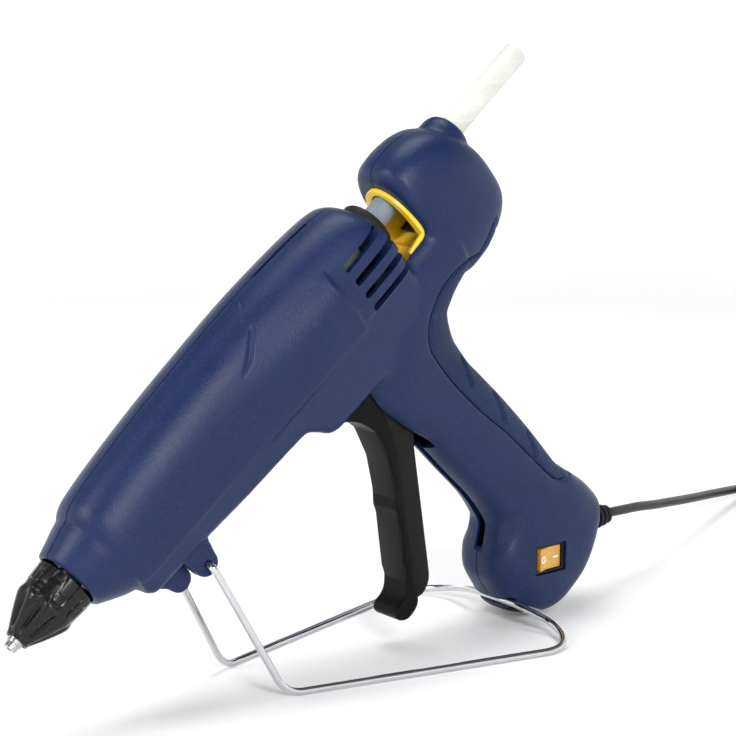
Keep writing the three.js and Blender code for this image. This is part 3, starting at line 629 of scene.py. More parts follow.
def studio():
    """A pale floor that curves up into a backdrop on every side, far from the gun."""
    rows = [
        (0.0, 0.0), (2.2, 0.0), (2.6, 0.03), (3.0, 0.12), (3.4, 0.30), (3.7, 0.60), (3.9, 1.0),
        (4.0, 1.6), (4.0, 3.2)
    ]
    sides = 96
    points = []
    for r, z in rows:
        for i in range(sides):
            a = 2 * math.pi * i / sides
            points.append((r * math.cos(a), r * math.sin(a), z))
    mesh = bpy.data.meshes.new("floor")
    mesh.from_pydata(points, [], ring_faces(len(rows), sides))
    floor = new_object("floor", mesh)
    shade(floor, 60)
    look = Nodes("floor_look", (0.93, 0.93, 0.93), 0.6)
    cloud = look.noise(0.4, detail=2)
    look.tint(look.spread(cloud, 0.3, 0.7), (0.91, 0.91, 0.915))
    look.rough(cloud, 0.55, 0.65)
    far = look.add("ShaderNodeVectorMath", operation="LENGTH")
    look.link(look.place, far.inputs[0])
    look.shader.inputs["Emission Color"].default_value = (1, 1, 1, 1)
    height = look.add("ShaderNodeSeparateXYZ")
    look.link(look.place, height.inputs[0])
    glow = look.math("MULTIPLY", look.spread(far.outputs["Value"], 1.0, 3.0, 0.0, 0.75),
                     look.spread(height.outputs["Z"], 0.9, 1.7, 1.0, 0.0))
    look.link(glow, look.shader.inputs["Emission Strength"])
    floor.data.materials.append(look.material)


def lamp(name, place, target, size, power):
    light = bpy.data.lights.new(name, "AREA")
    light.energy = power
    light.shape = "RECTANGLE"
    light.size = light.size_y = size
    lamp_object = new_object(name, light)
    lamp_object.location = place
    lamp_object.rotation_euler = (Vector(target) - Vector(place)).to_track_quat("-Z", "Y").to_euler()


studio()
MIDDLE = (0.0, 0.0, 0.12)
lamp("key", (-0.6, -1.75, 1.15), MIDDLE, 0.6, 26)
lamp("left", (-1.7, 0.2, 1.3), MIDDLE, 0.5, 18)
lamp("top", (0.2, 0.3, 2.2), MIDDLE, 1.2, 26)
world = bpy.data.worlds.new("studio")
bpy.context.scene.world = world
world.use_nodes = True
world.node_tree.nodes["Background"].inputs["Color"].default_value = (1, 1, 1, 1)
world.node_tree.nodes["Background"].inputs["Strength"].default_value = 0.14


# ---------------------------------------------------------------- cord, with its plug
CORD_ROUTE = [  # out of the strain relief, down, away to the right and onto the floor
    (0.1788, 0.0021, 0.0397), (0.1850, 0.0033, 0.0392), (0.1908, 0.0048, 0.0385), (0.2003, 0.0074, 0.0373),
    (0.2103, 0.0103, 0.0360), (0.2200, 0.0133, 0.0343), (0.2302, 0.0166, 0.0324), (0.2427, 0.0213, 0.0301),
    (0.2553, 0.0262, 0.0278), (0.2693, 0.0320, 0.0251), (0.2837, 0.0380, 0.0224), (0.2995, 0.0452, 0.0193),
    (0.3153, 0.0524, 0.0163), (0.3311, 0.0594, 0.0132), (0.3465, 0.0658, 0.0104), (0.3605, 0.0711, 0.0080),
    (0.3727, 0.0752, 0.0062), (0.3860, 0.0792, 0.0047),
]
CORD_TAIL = [
    (0.4375, 0.0360, 0.0090), (0.4376, 0.0260, 0.0086), (0.4375, 0.0200, 0.0079),
    (0.4374, 0.0153, 0.0073), (0.4374, 0.0124, 0.0070)
]
COIL_LOW, COIL_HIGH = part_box("cord_coil")
COIL_MIDDLE = (COIL_LOW + COIL_HIGH) / 2
COIL_RADII = (0.0352, 0.03005, 0.0249, 0.01975)
LAYER_LOW, LAYER_HIGH = 0.0041, 0.00925


def coil_point(turn):
    """The cord's line in the coil: four turns in on the floor, then out again on top of them."""
    whole, phase = divmod(turn, 1)
    whole = int(whole)

    def ease(a, b):
        return float(smooth_step(a, b, phase))

    if turn < 3.5:
        here, after = COIL_RADII[whole], COIL_RADII[min(whole + 1, 3)]
        radius = here + (after - here) * ease(0.72, 0.97)
    else:
        here = COIL_RADII[max(3 - max(whole - 4, 0), 0)]
        after = COIL_RADII[max(3 - max(whole - 3, 0), 0)]
        radius = here + (after - here) * ease(0.27, 0.5)
    climb = float(smooth_step(3.48, 3.72, turn))
    angle = math.pi / 2 - 2 * math.pi * turn
    return (
        COIL_MIDDLE.x + radius * math.cos(angle), COIL_MIDDLE.y + radius * math.sin(angle),
        LAYER_LOW + (LAYER_HIGH - LAYER_LOW) * climb,
    )


def build_cord():
    turns, per_turn = 7.25, 16
    coil = [coil_point(i / per_turn) for i in range(int(turns * per_turn) + 1)]
    points = CORD_ROUTE + coil + CORD_TAIL
    curve = bpy.data.curves.new("power_cord", "CURVE")
    curve.dimensions = "3D"
    curve.bevel_depth = CORD_R
    curve.bevel_resolution = 5
    curve.resolution_u = 6
    curve.use_fill_caps = True
    spline = curve.splines.new("BEZIER")
    spline.bezier_points.add(len(points) - 1)
    for point, place_at in zip(spline.bezier_points, points):
        point.co = place_at
        point.handle_left_type = point.handle_right_type = "AUTO"
    cord = new_object("power_cord", curve)
    curve.materials.append(cord_look.material)
    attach(cord, "shell")
    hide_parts("mains_cord", "cord_tail", "cord_coil")
    return cord


def build_plug():
    """A flat two-pin plug: waisted body, finger ribs and a ribbed sleeve over the cord."""
    low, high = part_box("plug_body")
    middle = (low + high) / 2
    length = (high.y - low.y) / MM
    # Distance from the pin face, half-width, half-thickness.
    stations = [
        (0.0, 11.4, 5.6), (1.2, 12.8, 6.8), (4.0, 13.0, 7.0), (14.0, 12.9, 7.0), (19.0, 12.3, 6.9),
        (25.0, 10.0, 6.5), (30.0, 7.4, 5.9), (33.0, 5.6, 5.2), (36.0, 4.8, 4.6), (length - 0.8, 4.2, 4.2),
        (length, 3.4, 3.4),
    ]
    rings = []
    for along, half, thick in between(stations, 6):
        if 34.5 < along < length - 3:
            groove = 0.45 * (0.5 - 0.5 * math.cos(2 * math.pi * (along - 34.5) / 2.6))
            half, thick = half - groove, thick - groove
        ring = superellipse(half, thick, -thick, 3.2 if along < 30 else 2.2, 48)
        rings.append(np.column_stack([ring[:, 0], np.full(48, along), ring[:, 1]]))
    plug = loft("mains_plug", rings)
    ribs = [slab("rib", stadium((-7, 0), (7, 0), 1.0), -1, 1) for _ in range(8)]
    for i, rib in enumerate(ribs):
        rib.data.transform(
            Matrix.Translation(
                (0, 17 + 2.2 * (i % 4), 6.9 if i < 4 else -6.9)
            ) @ Matrix.Rotation(math.pi / 2, 4, "X")
        )
    plug = cut(plug, join_up("ribs", ribs))
    soften(plug, 0.25, 2, 35)
    seat = Matrix.Translation((middle.x, low.y, middle.z)) @ Matrix.Scale(MM, 4)
    return place(plug, "shell", plug_look.material, "plug", "plug_body", matrix=seat)


def build_tie():
    """A flat strap round one side of the coil, with its tongue."""
    low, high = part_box("coil_tie")
    middle = (low + high) / 2
    half_x, half_z = (high.x - low.x) / 2 / MM, (high.z - low.z) / 2 / MM
    strap = loft("cord_tie", [
        np.column_stack([ring[:, 0], np.full(48, y), ring[:, 1]])
        for y in (-2.5, 2.5) for ring in [superellipse(half_x, half_z, -half_z, 7, 48)]
    ])
    inner = loft("inside", [
        np.column_stack([ring[:, 0], np.full(48, y), ring[:, 1]])
        for y in (-6, 6) for ring in [superellipse(half_x - 1.2, half_z - 1.2, 1.2 - half_z, 7, 48)]
    ])
    cut(strap, inner)
    tongue = loft("tongue", [
        [(x, -2.1, z), (x, 2.1, z), (x, 2.1, z - 0.9), (x, -2.1, z - 0.9)]
        for x, z in ((-4, half_z - 0.1), (0, half_z + 0.6), (4, half_z + 0.7), (7, half_z + 0.9))
    ])
    combine(strap, tongue, "UNION")
    soften(strap, 0.2, 2, 35)
    return place(strap, "shell", black_look.material, "black_plastic", "coil_tie",
                 matrix=Matrix.Translation(middle) @ Matrix.Scale(MM, 4))


power_cord = build_cord()
plug = build_plug()
tie = build_tie()


# ---------------------------------------------------------------- housing
# Stations [s, half-width, top, bottom] along the barrel, [h, half-width, front s, back s] down the handle.
NOSE = [
    (38, 15.8, 15.8, -15.8), (45, 18.2, 17.6, -20.6), (52, 20.6, 19.4, -24.6), (57.5, 21.6, 20.3, -26.8)
]
BARREL = [
    (55.5, 21.4, 21.2, -25.4), (58.5, 22.8, 22.8, -28), (63, 23.6, 24.2, -28.8), (87, 24.6, 26.9, -30),
    (118, 25.4, 28.8, -32.9), (150, 25.8, 29.6, -35.1), (158, 25.9, 29.7, -36), (163.5, 25.9, 29.8, -41),
    (168, 25.9, 29.8, -46.4), (173, 26, 29.7, -48.3), (182, 26, 29.5, -48.9), (208, 26, 28, -50.6),
    (228, 26, 25.9, -52.4), (238, 25.7, 23.6, -53.6), (243.5, 24.8, 20, -54), (246.5, 23, 15, -52.6),
]
HANDLE = [
    (-40, 21.2, 200, 266), (-52, 20.6, 196, 260.6), (-62, 19.8, 195.6, 255), (-74, 18.8, 198, 251.4),
    (-86, 18.2, 201.4, 251.2), (-100, 17.8, 206.2, 253), (-124, 17.7, 208.9, 256.2),
    (-150, 18.2, 211.4, 258.2), (-163, 19, 210.4, 258.6), (-170, 20, 203.6, 258.8),
    (-176, 20.7, 195.8, 260), (-184, 21.5, 191, 262.6), (-193, 22, 189.8, 265), (-203, 22, 189, 266),
    (-207, 21.9, 189.6, 264.8), (-213, 21.4, 193.4, 258), (-218, 20.4, 198, 249.4),
    (-222, 18.4, 204, 241.4), (-224.4, 15.4, 210, 236),
]
HEAD = [
    (266, 17.4, 13.6, -44), (268.6, 20, 17.6, -49.4), (272.5, 21.6, 19.4, -53), (280, 22.2, 19.9, -55),
    (289, 22, 19, -54.8), (298, 21.2, 16.2, -52.6), (306, 19.6, 10, -49.2), (312.4, 16.8, 0, -44),
    (315.8, 11.8, -11.8, -36.8),
]
BRIDGE = [
    (238, 21.6, -14.4, -62), (252, 21.6, -14.4, -60.5), (262, 21.8, -14.4, -56), (275, 22, -14.4, -52.5)
]
STAND_PIVOT = (84.7, -40.4)
STAND_CLIP = (191, -199.8)
TRIGGER_PIVOT = (204, -66)
# S, h, reach of the shank to either side.
SCREWS = [
    (73.5, -41, 4.5), (166, -36.5, 16), (232, -34, 17), (276, -42, 15), (292, -38, 14), (231, -84, 13),
    (247, -176, 14.5), (212, -214, 14)
]


def lug(side):
    s, h = STAND_PIVOT
    outline = [(s - 8, -27), (s + 9, -27), (s + 6.2, h + 1)]
    outline += [(s + 6.2 * math.cos(a), h + 0.6 + 6.2 * math.sin(a)) for a in np.linspace(0, -math.pi, 14)]
    low = -16 if side < 0 else 9
    return slab("lug", outline, low, low + 7)


def nose_ear():
    ear = [(67.5, -24), (79.5, -24), (79.5, -41)] + [
        (73.5 + 6 * math.cos(a), -41 + 6 * math.sin(a)) for a in np.linspace(0, -math.pi, 14)]
    rib = [
        (64, -24), (66.4, -24), (66.4, -36), (70.5, -41), (70.5, -44.6), (68.4, -44.6), (68.4, -41.6),
        (64, -36.6)
    ]
    return slab("ear", ear, -6.6, 6.6), slab("rib", rib, -5, 5)


def grip_outline(grow):
    """Edge of the soft inlay, in (s, h)."""
    return curve_points(
        (300, -40 + grow), (283 + grow, -46.5 + grow), (262 - grow, -34 + grow, 246 - grow, -43 + grow),
        (233.6 - grow, -50, 231.6 - grow, -60), (231.6 - grow, -92, 241.4 - grow, -128),
        (247 - grow, -166 - grow), (249 - grow, -176 - grow, 262, -180 - grow), (300, -180 - grow)
    )


NOTCHES = [
    ((246.5, -80.7), (241, -92.4)), ((250.1, -110.2), (244.4, -122.2)), ((252.2, -141.3), (247.3, -151.2))
]
# S, h, distance from the mid-plane.
CRESCENT = [(176, 29, 6), (168, 21.7, 16), (157, 16, 20.5), (146, 12, 22)]


def model_skin(piece):
    """Fine shape of the moulded shell: side panels, thumb scoops, grooves and the inlay's notches."""
    p = corners(piece)
    s, y, h = p.T
    side = np.abs(y)
    flat = p[:, [0, 2]]
    move = np.zeros(len(p))

    # Raised panel along each side, with a rounded step at its rear end and a soft start in front.
    rise = smooth_step(110, 200, s) * (1 - smooth_step(208, 211, s))
    rise *= smooth_step(-21, -17, h) * (1 - smooth_step(2, 19, h - 0.05 * (s - 208)))
    move += 2.8 * rise * smooth_step(18, 23, side)

    # Shallow hollow over the ridge, from the nose backwards.
    hollow = smooth_step(62, 90, s) * (1 - smooth_step(150, 205, s)) * np.exp(-((h + 4) / 8) ** 2)
    move -= 0.8 * hollow * smooth_step(18, 23, side)

    # Foot: the front nose is narrower than the flanks, behind a soft crease.
    edge_s = np.interp(
        -h, [156, 160.4, 168.3, 174.6, 186.6, 199.9, 212], [214, 210.5, 203, 196.4, 198.5, 197, 196]
    )
    front = smooth_step(-2, 9, edge_s + 7 - s) * smooth_step(-214, -200, h)
    front *= 1 - smooth_step(-168, -158, h)
    move -= 1.3 * spot(s, h, 211, -172, 8, 11) * smooth_step(10, 16, side)

    # Crescent groove on each side of the crown.
    mirrored = np.column_stack([s, h, side])
    gap, share = to_line(mirrored, CRESCENT)
    width = 0.5 + 1.1 * np.sin(math.pi * np.clip(share, 0, 1))
    taper = np.sin(math.pi * np.clip(share, 0.02, 0.98)) ** 0.5
    move -= 1.1 * (1 - smooth_step(0.5, 1.2, gap / width)) * taper

    # Inlay: a groove along its edge and three notches on each side.
    outline = grip_outline(0)
    closed = outline + outline[:1]
    gap, _ = to_line(flat, closed)
    near = (s > 225) & (h < -30) & (h > -190)
    move -= 1.0 * (1 - smooth_step(0.4, 1.2, gap)) * near
    for start, end in NOTCHES:
        gap, _ = to_line(flat, [start, end])
        move -= 1.9 * (1 - smooth_step(0.9, 2.1, gap)) * (side > 4)
    push(piece, move)
    pinched = corners(piece)
    pinched[:, 1] *= 1 - 0.06 * front
    move_to(piece, pinched)


def skin_body():
    parts = [
        along_s("nose", NOSE, lambda half, top, bottom: superellipse(half, top, bottom, 2.05)),
        along_s("barrel", BARREL, barrel_section),
        along_h("handle", HANDLE),
        along_s("head", HEAD, lambda half, top, bottom: superellipse(half, top, bottom, 2.7)),
        along_s("bridge", BRIDGE, bridge_section),
        turned("collar", [(298, 12.6), (310, 12.6), (312.6, 12.1), (314.4, 11.1), (315.4, 9.6)], 72, 0, -1),
        lug(-1), lug(1), *nose_ear(),
    ]
    skin = remesh(join_up("skin", parts), VOXEL)
    s, _, h = corners(skin).T
    relax(skin, 6)
    # Fillets where the handle meets the barrel, and the head meets the handle and the bridge.
    front = spot(s, h, 199, -52, 13, 11)
    root = spot(s, h, 232, -56, 24, 10)
    back = spot(s, h, 268, -56, 20, 14)
    window = spot(s, h, 266, -12, 6, 8) + spot(s, h, 247, -14, 4, 5)
    weights = np.clip(1.3 * np.maximum.reduce([front, root, 0.3 * back, window]), 0, 1)
    relax(skin, 60, weights, 0.8)
    model_skin(skin)
    relax(skin, 2)
    return skin


def vent(side, h):
    low, high = (-30, -14) if side < 0 else (14, 30)
    return slab("vent", stadium((219.3, h), (262, h), 3.7), low, high)


def grip_layer(name, layer, grow):
    """The outer layer of a copy of the skin, inside the inlay's outline."""
    layer.name = name
    combine(layer, slab("zone", grip_outline(grow), -40, 40), "INTERSECT")
    return cut(
        layer, along_h("handle_inside", [row for row in HANDLE if row[0] > -200], 1.9),
        along_s(
            "head_inside", HEAD[1:-1],
            lambda half, top, bottom: superellipse(half - 2.2, top - 2.2, bottom + 2.2, 2.7)
        ),
    )


def housing():
    skin = skin_body()

    grip = grip_layer("grip_inlay", copy_of(skin, "layer"), -0.25)
    bed = grip_layer("grip_bed", push(copy_of(skin, "layer"), np.full(len(skin.data.vertices), 0.5)), 0.25)

    outside = copy_of(skin, "outside")
    shell = skin
    barrel_inside = [row for row in BARREL if 60 < row[0] < 240]
    handle_inside = [row for row in HANDLE if row[0] > -222]
    cut(
        shell, bed,
        along_s(
            "inside", barrel_inside,
            lambda half, top, bottom: barrel_section(half - WALL, top - WALL, bottom + WALL, WALL), 2
        ),
        along_h("inside", handle_inside, WALL, steps=2),
        turned("inside", [(30, 13.6), (36, 13.6), (45, 15.4), (66, 18.6)]),
        turned("stick_way", [(238, 7.2), (340, 7.2)], 48),
    )

    # Screw pillars, all clear of one another.
    pillars = []
    for s, h, reach in SCREWS[1:]:
        pillars.append(pillar("pillar", s, h, [(-reach - 2, 4.2), (reach + 2, 4.2)]))
    combine(shell, combine(join_up("pillars", pillars), outside, "INTERSECT"), "UNION")

    # Openings that don't touch one another, in one cut.
    slots = [vent(side, 9.4 - 8.1 * i) for i in range(4) for side in (-1, 1)]
    slots.append(slab("crown_slot", [(191, 22), (227, 20), (227, 44), (191, 44)], -0.9, 0.9))
    for s, h, reach in SCREWS:
        slots.append(
            pillar("screw_hole", s, h, [(-reach, 2.0), (reach - 2.3, 2.0), (reach - 2.3, 3.5), (30, 3.5)])
        )
    slots.append(
        slab(
            "handle_slot", [(190, -100), (224, -100), (224, -171), (216, -173.4), (190, -173.4)], -2.7,
            2.7
        )
    )
    cut(shell, join_up("slots", slots))
    s, h = STAND_CLIP
    groove = stadium((s - 12, h - 1.6), (s + 0.2, h), 4.6, 10)
    tools = [
        block("trough", (243.6, 266), (-16.2, 16.2), (-31, 10.4)),
        arch_bar("arch_way", 16.2, 10.3, -31, 262, 281),
        turned("sleeve_way", [(236, 9.9), (252, 9.9)], 64),
        slab(
            "trigger_way", [(168, -70), (168, -38), (207, -38), (212, -104), (197, -104), (190, -70)],
            -10, 10
        ),
        slab("clip_way", groove, -30, 30),
        slab(
            "pad_way", [(190.6, -227), (188, -204.2), (193.4, -203.6), (197, -209.6), (206, -227)], -17.3,
            17.3
        ),
        switch_box(0.35, -40, 4), relief_way(),
    ]
    tools += [pillar("pivot_way", *STAND_PIVOT, [(-30, 2.1), (30, 2.1)])]
    cut(shell, *tools)

    other = copy_of(shell, "housing_right_skin")
    combine(shell, block("half", (0, 400), (-80, -SEAM), (-260, 60)), "INTERSECT")
    combine(other, block("half", (0, 400), (SEAM, 80), (-260, 60)), "INTERSECT")
    shell.name = "housing_left_skin"
    place(shell, "shell", housing_look.material, "housing", "housing_left", angle=38)
    place(other, "shell", housing_look.material, "housing", "housing_right", angle=38)
    place(grip, "shell", grip_material.material, "grip", "soft_grip", angle=38)


def pillar(name, s, h, profile, sides=24):
    """A turned piece across the gun, from [(y, radius), ...]."""
    angles = np.linspace(0, 2 * math.pi, sides, endpoint=False)
    return loft(name, [[(s + r * math.cos(a), y, h + r * math.sin(a)) for a in angles] for y, r in profile])


SWITCH = (218.8, -195.8)
SWITCH_LENGTH, SWITCH_WIDTH = 19.2, 14.2


def level_frame(s, h):
    """Turns a shape drawn level about (s, h) into the gun's frame."""
    return Matrix.Translation((s, 0, h)) @ Matrix.Rotation(PITCH, 4, "Y")


def switch_box(grow, y_low, y_high):
    a, b = SWITCH_LENGTH / 2 + grow, SWITCH_WIDTH / 2 + grow
    box = block("switch_box", (-a, a), (y_low, y_high), (-b, b))
    box.data.transform(level_frame(*SWITCH))
    return box


def arch_bar(name, half, top, bottom, s_low, s_high):
    """A bar along s with a flat foot, upright sides and a half-round back."""
    arch = [(half, bottom)] + [
        (half * math.cos(a), -14 + (top + 14) * math.sin(a))
        for a in np.linspace(0, math.pi, 40)
    ] + [(-half, bottom)]
    return loft(name, [[(s, y, h) for y, h in arch] for s in (s_low, s_high)])


def relief_way():
    """The cord's hole through the back of the foot, along the row's X."""
    low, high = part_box("strain_relief")
    centre = GUN.inverted() @ Vector((low.x + 0.008, (low.y + high.y) / 2, (low.z + high.z) / 2))
    way = turned(
        "relief_way", [(-12, 5.2), (-8.4, 5.2), (-8.4, 6.9), (-4.7, 6.9), (-4.7, 5.2), (12, 5.2)], 40
    )
    way.data.transform(Matrix.Translation(centre) @ Matrix.Rotation(PITCH, 4, "Y"))
    return way


housing()


# ---------------------------------------------------------------- stick, guide and nozzle
def stick():
    end = 370
    piece = turned(
        "glue_stick_skin",
        [(128, 5.6), (128.4, 6), (200, 6), (280, 5.97), (330, 6.02), (end - 0.5, 6), (end, 5.6)], 72
    )
    return place(piece, "stick", glue_look.material, "glue", "glue_stick")


def sleeve():
    """Rubber seal round the stick at the barrel's back: a rolled lip and a stepped tube."""
    profile = [
        (238, 6.9), (238, 9.4), (247.4, 9.4), (247.4, 12.6), (248, 13.2), (249.2, 13.4), (251.4, 13.3),
        (252.3, 12.7), (252.6, 11.8), (252.6, 9.2), (252, 8.4), (250.4, 7.6), (249, 6.9), (238, 6.9)
    ]
    return place(turned("inlet_seal", profile, 72), "shell", rubber_look.material, "rubber", "inlet_sleeve")


def stick_guide():
    """Yellow guide: a floor in the window and an arched plate that the stick runs through."""
    plate = arch_bar("stick_guide_skin", 15.9, 10, -30.6, 264.4, 280.6)
    floor = loft(
        "floor",
        [
            [
                (s, -15.9, -30.6), (s, 15.9, -30.6), (s, 15.9, top), (s, 13.8, top), (s, 13.8, low),
                (s, -13.8, low), (s, -13.8, top), (s, -15.9, top)
            ]
            for s, low, top in ((253.4, -27.8, -16.4), (266, -26.6, -15.2))
        ]
    )
    combine(plate, floor, "UNION")
    cut(plate, arch_bar("way", 11.2, 6.7, -24.4, 262, 290))
    soften(plate, 0.7, 3, 30)
    return place(plate, "shell", guide_look.material, "guide", "stick_guide")


COVER = [
    (4.5, 5.2, 0.1), (6, 5.7, 0.25), (8, 6.8, 0.6), (13, 9.6, 1.3), (18, 12.1, 1.5), (20.5, 13.2, 1.3),
    (22.4, 13.7, 0.9), (24, 13.5, 0.4), (25.5, 13.2, 0.1), (28, 13.4, 0), (31, 13.7, 0), (36.6, 14, 0)
]


def nozzle_cover():
    """Heat-proof sleeve: eight flared lobes with deep flutes, then a ring with a stepped groove."""
    rings = []
    count = 320
    angle = np.linspace(0, 2 * math.pi, count, endpoint=False)
    for s, radius, flute in between(COVER, 8):
        wave = (1 + np.cos(8 * angle)) / 2
        crease = 0.5 * smooth_step(6, 10, s) * (1 - smooth_step(20, 22.5, s)) * wave ** 8
        flutes = flute * 1.25 * wave ** 1.6 + crease
        # The stepped groove round the ring: runs along s on one side of each lobe, then across.
        zig = np.clip(3 * np.sin(8 * angle + math.pi / 2), -1, 1)
        path = 30.6 + 2.2 * zig
        steep = np.abs(np.cos(8 * angle + math.pi / 2)) * (np.abs(zig) < 1)
        gap = np.abs(s - path) / (1 + 9 * steep)
        groove = 0.45 * (1 - smooth_step(0.3, 0.8, gap))
        r = radius - flutes - groove
        rings.append(np.column_stack([np.full(count, s), r * np.cos(angle), r * np.sin(angle)]))
    cover = loft("nozzle_sleeve", rings)
    cut(
        cover,
        turned(
            "hollow",
            [(2, 4.5), (9.6, 4.5), (9.6, 5.8), (16.6, 5.8), (16.6, 8), (24, 8), (30, 11), (38, 11.6)]
        )
    )
    return place(cover, "shell", cover_look.material, "black_plastic", "nozzle_cover", angle=32)


def nozzle_tip():
    profile = [
        (0, 1.2), (0, 2.7), (0.3, 3), (2.6, 3.1), (2.8, 3.6), (6, 4.1), (10, 4.1), (10, 5.4), (17, 5.4),
        (17, 7.6), (30, 7.6), (30, 6), (46, 6), (46, 4.2), (33.8, 4.2), (33.8, 2.2), (31.8, 2.2),
        (31.8, 3.4), (17, 3.4), (14.6, 1.2), (0, 1.2)
    ]
    return place(
        turned("nozzle_metal", profile, 48), "shell", tip_look.material, "steel", "nozzle_tip", angle=25
    )


stick()
sleeve()
stick_guide()
nozzle_cover()
nozzle_tip()


# ---------------------------------------------------------------- trigger
def trigger():
    """A moulded lever: soft finger bow in front, flat web behind it, and an arm up to the feed."""
    front = curve_points(
        (206, -60), (201, -52, 192, -49.4), (178.4, -48.6), (176.6, -50.4, 178.8, -53.6),
        (188, -60, 190, -75), (189.6, -82, 186, -88.4), (184.2, -97.2, 173.6, -110.4),
        (171.5, -119.7, 160.6, -133.4), (161.1, -137.6, 152.8, -146.2), (149, -149, 144.4, -148),
        (139.6, -149.4, 140.8, -153.6), (143.6, -158.6, 149.4, -157.4), (154.5, -157.6, 157, -151.5)
    )
    bow_back = [(164.5, -138), (174.4, -120.2), (183, -105), (192.4, -89), (196, -78), (199, -66)]
    bow = slab("trigger_skin", front + bow_back, -9.2, 9.2)
    remesh(bow, 0.55)
    relax(bow, 14)
    web = slab(
        "web",
        curve_points(
            (206, -62), (207, -74), (205, -90), (201, -95.4), (168.9, -149.2),
            (165, -155.6, 158.5, -155.2), (152, -153), (158, -137), (176, -108), (186, -88), (190, -70)
        ),
        -8.4, 8.4
    )
    soften(web, 0.7, 3, 30)
    arm = slab("arm", [(194, -66), (206, -66), (203.4, -22.4), (192.6, -22.4)], -4.8, 4.8)
    boss = pillar("boss", *TRIGGER_PIVOT, [(-8.9, 5.6), (-8.4, 6.2), (8.4, 6.2), (8.9, 5.6)], 40)
    for other in (arm, boss):
        combine(web, other, "UNION")
    fork = block("fork", (195.5, 200.5), (-6, 6), (-29.3, -17.3))
    cut(web, fork, pillar("pin_way", *TRIGGER_PIVOT, [(-20, 2.8), (20, 2.8)]))
    cut(bow, pillar("boss_way", *TRIGGER_PIVOT, [(-20, 5.8), (20, 5.8)], 40))
    place(bow, "trigger", trigger_look.material, "trigger", "trigger", angle=60)
    web.name = "trigger_web"
    place(web, "trigger", web_look.material, "trigger", "trigger", angle=35)


trigger()


# ---------------------------------------------------------------- switch
def rocker():
    """A translucent rocker with a raised line and ring moulded into its ends."""
    length, width = 7.5, 5.6
    raised = -20.2 - length * math.tan(math.radians(14))
    outline = [
        (-length, raised), (-5.2, raised + 0.75), (-2.4, -20.55), (0, -20.2), (length, -20.2),
        (length, -16), (0, -12), (-length, -16)
    ]
    body = loft("rocker_skin", [[(a, y, b) for a, y in outline] for b in (-width, width)])
    soften(body, 0.35, 2, 30)
    seat = GUN @ level_frame(*SWITCH)
    place(body, "rocker", amber_look.material, "amber", "switch_rocker", matrix=seat)

    line = slab("mark", stadium((3.0, 0), (5.6, 0), 0.7), -20.34, -20.1)
    ring_outside = slab("ring", stadium((0, 0), (0.01, 0), 3.6, 16), -0.2, 0.1)
    cut(ring_outside, slab("hole", stadium((0, 0), (0.01, 0), 2.4, 16), -1, 1))
    tilt = math.atan2(-20.55 - raised, length - 2.4)
    ring_outside.data.transform(
        Matrix.Translation((-4.9, -20.62 - 2.5 * math.tan(tilt), 0)) @ Matrix.Rotation(tilt, 4, "Z"))
    marks = join_up("rocker_marks", [line, ring_outside])
    return place(marks, "rocker", mark_look.material, "amber", matrix=seat)


def switch_frame():
    frame_piece = switch_box(0, -20.6, -4)
    inner = switch_box(-1.2, -30, -9)
    cut(frame_piece, inner)
    soften(frame_piece, 0.3, 2, 30)
    frame_piece.name = "switch_bezel"
    return place(frame_piece, "shell", black_look.material, "black_plastic", "switch_frame")


rocker()
switch_frame()


# ---------------------------------------------------------------- stand, foot pad and strain relief
def corner_path(points, cuts, steps=14):
    """Straight stretches with rounded corners: each corner starts its bend cut metres away."""
    points = [Vector(p) for p in points]
    path = [points[0]]
    for i in range(1, len(points) - 1):
        p, reach = points[i], cuts[i - 1]
        a = p + (points[i - 1] - p).normalized() * reach
        b = p + (points[i + 1] - p).normalized() * reach
        path += bend_points(a, p, b, (k / steps for k in range(steps + 1)))
    return path + [points[-1]]


def stand():
    """One bent wire: from the pivots down to the front corners, back along the floor, up to the foot."""
    eye = GUN @ Vector((STAND_PIVOT[0], 0, STAND_PIVOT[1]))
    clip = GUN @ Vector((STAND_CLIP[0], 0, STAND_CLIP[1]))
    front_x, floor_z = MOUTH.x + 0.1267, WIRE_R
    cuts = [0.0034, 0.009, 0.015, 0.008, 0.007]

    def side(sign):
        return [
            (eye.x, sign * 0.0096, eye.z), (eye.x, sign * 0.019, eye.z), (front_x, sign * 0.0239, floor_z),
            (front_x + 0.1427, sign * 0.0605, floor_z), (front_x + 0.1534, sign * 0.0388, 0.0058),
            (clip.x, sign * 0.016, clip.z),
        ]

    path = corner_path(side(-1) + side(1)[::-1], cuts + cuts[::-1])
    curve = bpy.data.curves.new("stand_wire_skin", "CURVE")
    curve.dimensions = "3D"
    curve.bevel_depth = WIRE_R
    curve.bevel_resolution = 7
    curve.use_fill_caps = True
    spline = curve.splines.new("POLY")
    spline.points.add(len(path) - 1)
    for point, place_at in zip(spline.points, path):
        point.co = (*place_at, 1)
    wire = new_object("stand_wire_skin", curve)
    for piece_spline in curve.splines:
        piece_spline.use_smooth = True
    curve.materials.append(chrome_look.material)
    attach(wire, "stand")
    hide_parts("stand_wire")


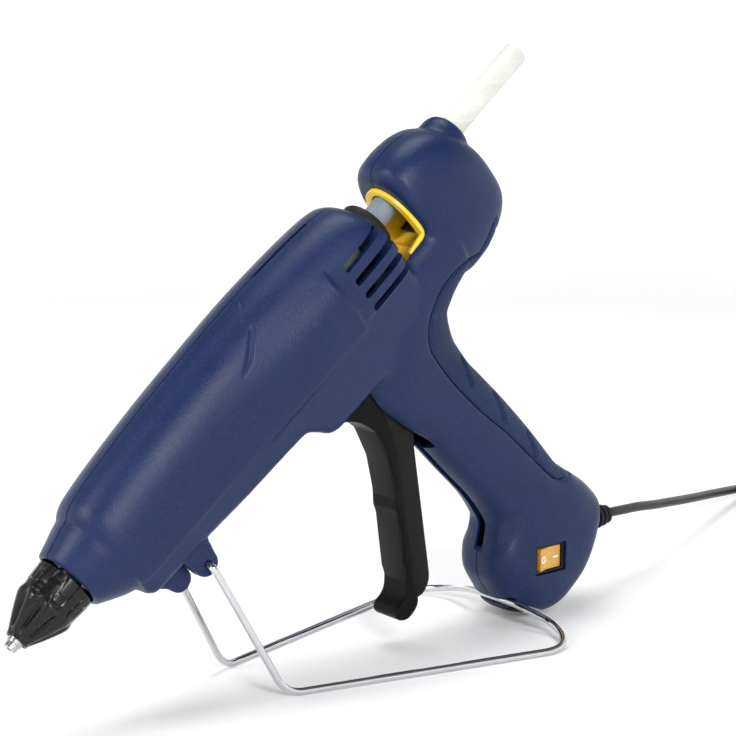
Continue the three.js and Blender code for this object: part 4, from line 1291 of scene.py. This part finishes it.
def foot_pad():
    """Black rubber lip behind the stand's cross wire, with grip ribs."""
    outline = [(191.4, -226), (189, -205), (193, -204.4), (196.2, -209.8), (203.4, -226)]
    pad = slab("clip_pad_skin", outline, -17, 17)
    combine(pad, along_h("limit", HANDLE), "INTERSECT")
    ribs = [block("rib", (185, 215), (y - 0.35, y + 0.35), (-232, -219.5)) for y in range(-15, 16, 3)]
    cut(pad, join_up("ribs", ribs))
    return place(pad, "shell", rubber_look.material, "rubber", "stand_clip_pad")


def strain_relief():
    """Tapered, ribbed sleeve over the cord where it leaves the foot."""
    low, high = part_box("strain_relief")
    centre = (low + high) / 2
    profile = [
        (-8, 6.2), (-7.8, 6.4), (-5.4, 6.4), (-5.2, 6.2), (-5.2, 4.9), (1.8, 4.9), (1.8, 6.5), (2.1, 6.7),
        (6.2, 6.7)
    ]
    for start, radius in ((6.6, 6.6), (10.2, 6.3), (13.8, 5.7), (17.2, 4.9)):
        profile += [
            (start, radius - 1.3), (start + 0.9, radius - 1.3), (start + 1.0, radius - 0.2),
            (start + 1.3, radius), (start + 2.7, radius - 0.15), (start + 3.0, radius - 0.45)
        ]
    profile += [(20.6, 3.6), (21.2, 3.2)]
    relief = turned("strain_relief_skin", profile, 56)
    seat = Matrix.Translation((low.x + 0.008, centre.y, centre.z)) @ Matrix.Scale(MM, 4)
    return place(relief, "shell", rubber_look.material, "rubber", "strain_relief", matrix=seat, angle=30)


stand()
foot_pad()
strain_relief()


# ---------------------------------------------------------------- CAD nodes that stay as they are
LOOKS = {
    "steel": steel_look, "black_plastic": black_look, "rubber": rubber_look, "aluminium": aluminium_look,
    "ceramic": ceramic_look, "silicone": silicone_look, "board": board_look, "brass": brass_look,
    "housing": housing_look, "guide": guide_look, "chrome": chrome_look, "plug": plug_look,
    "trigger": trigger_look, "amber": amber_look, "glue": glue_look, "grip": grip_material,
}
for subpart in frame["record"]["subparts"]:
    node = frame["nodes"][subpart["node"]]
    if node.hide_render:
        continue
    for material_slot in node.material_slots:
        material_slot.material = LOOKS[subpart["material_slot"]].material
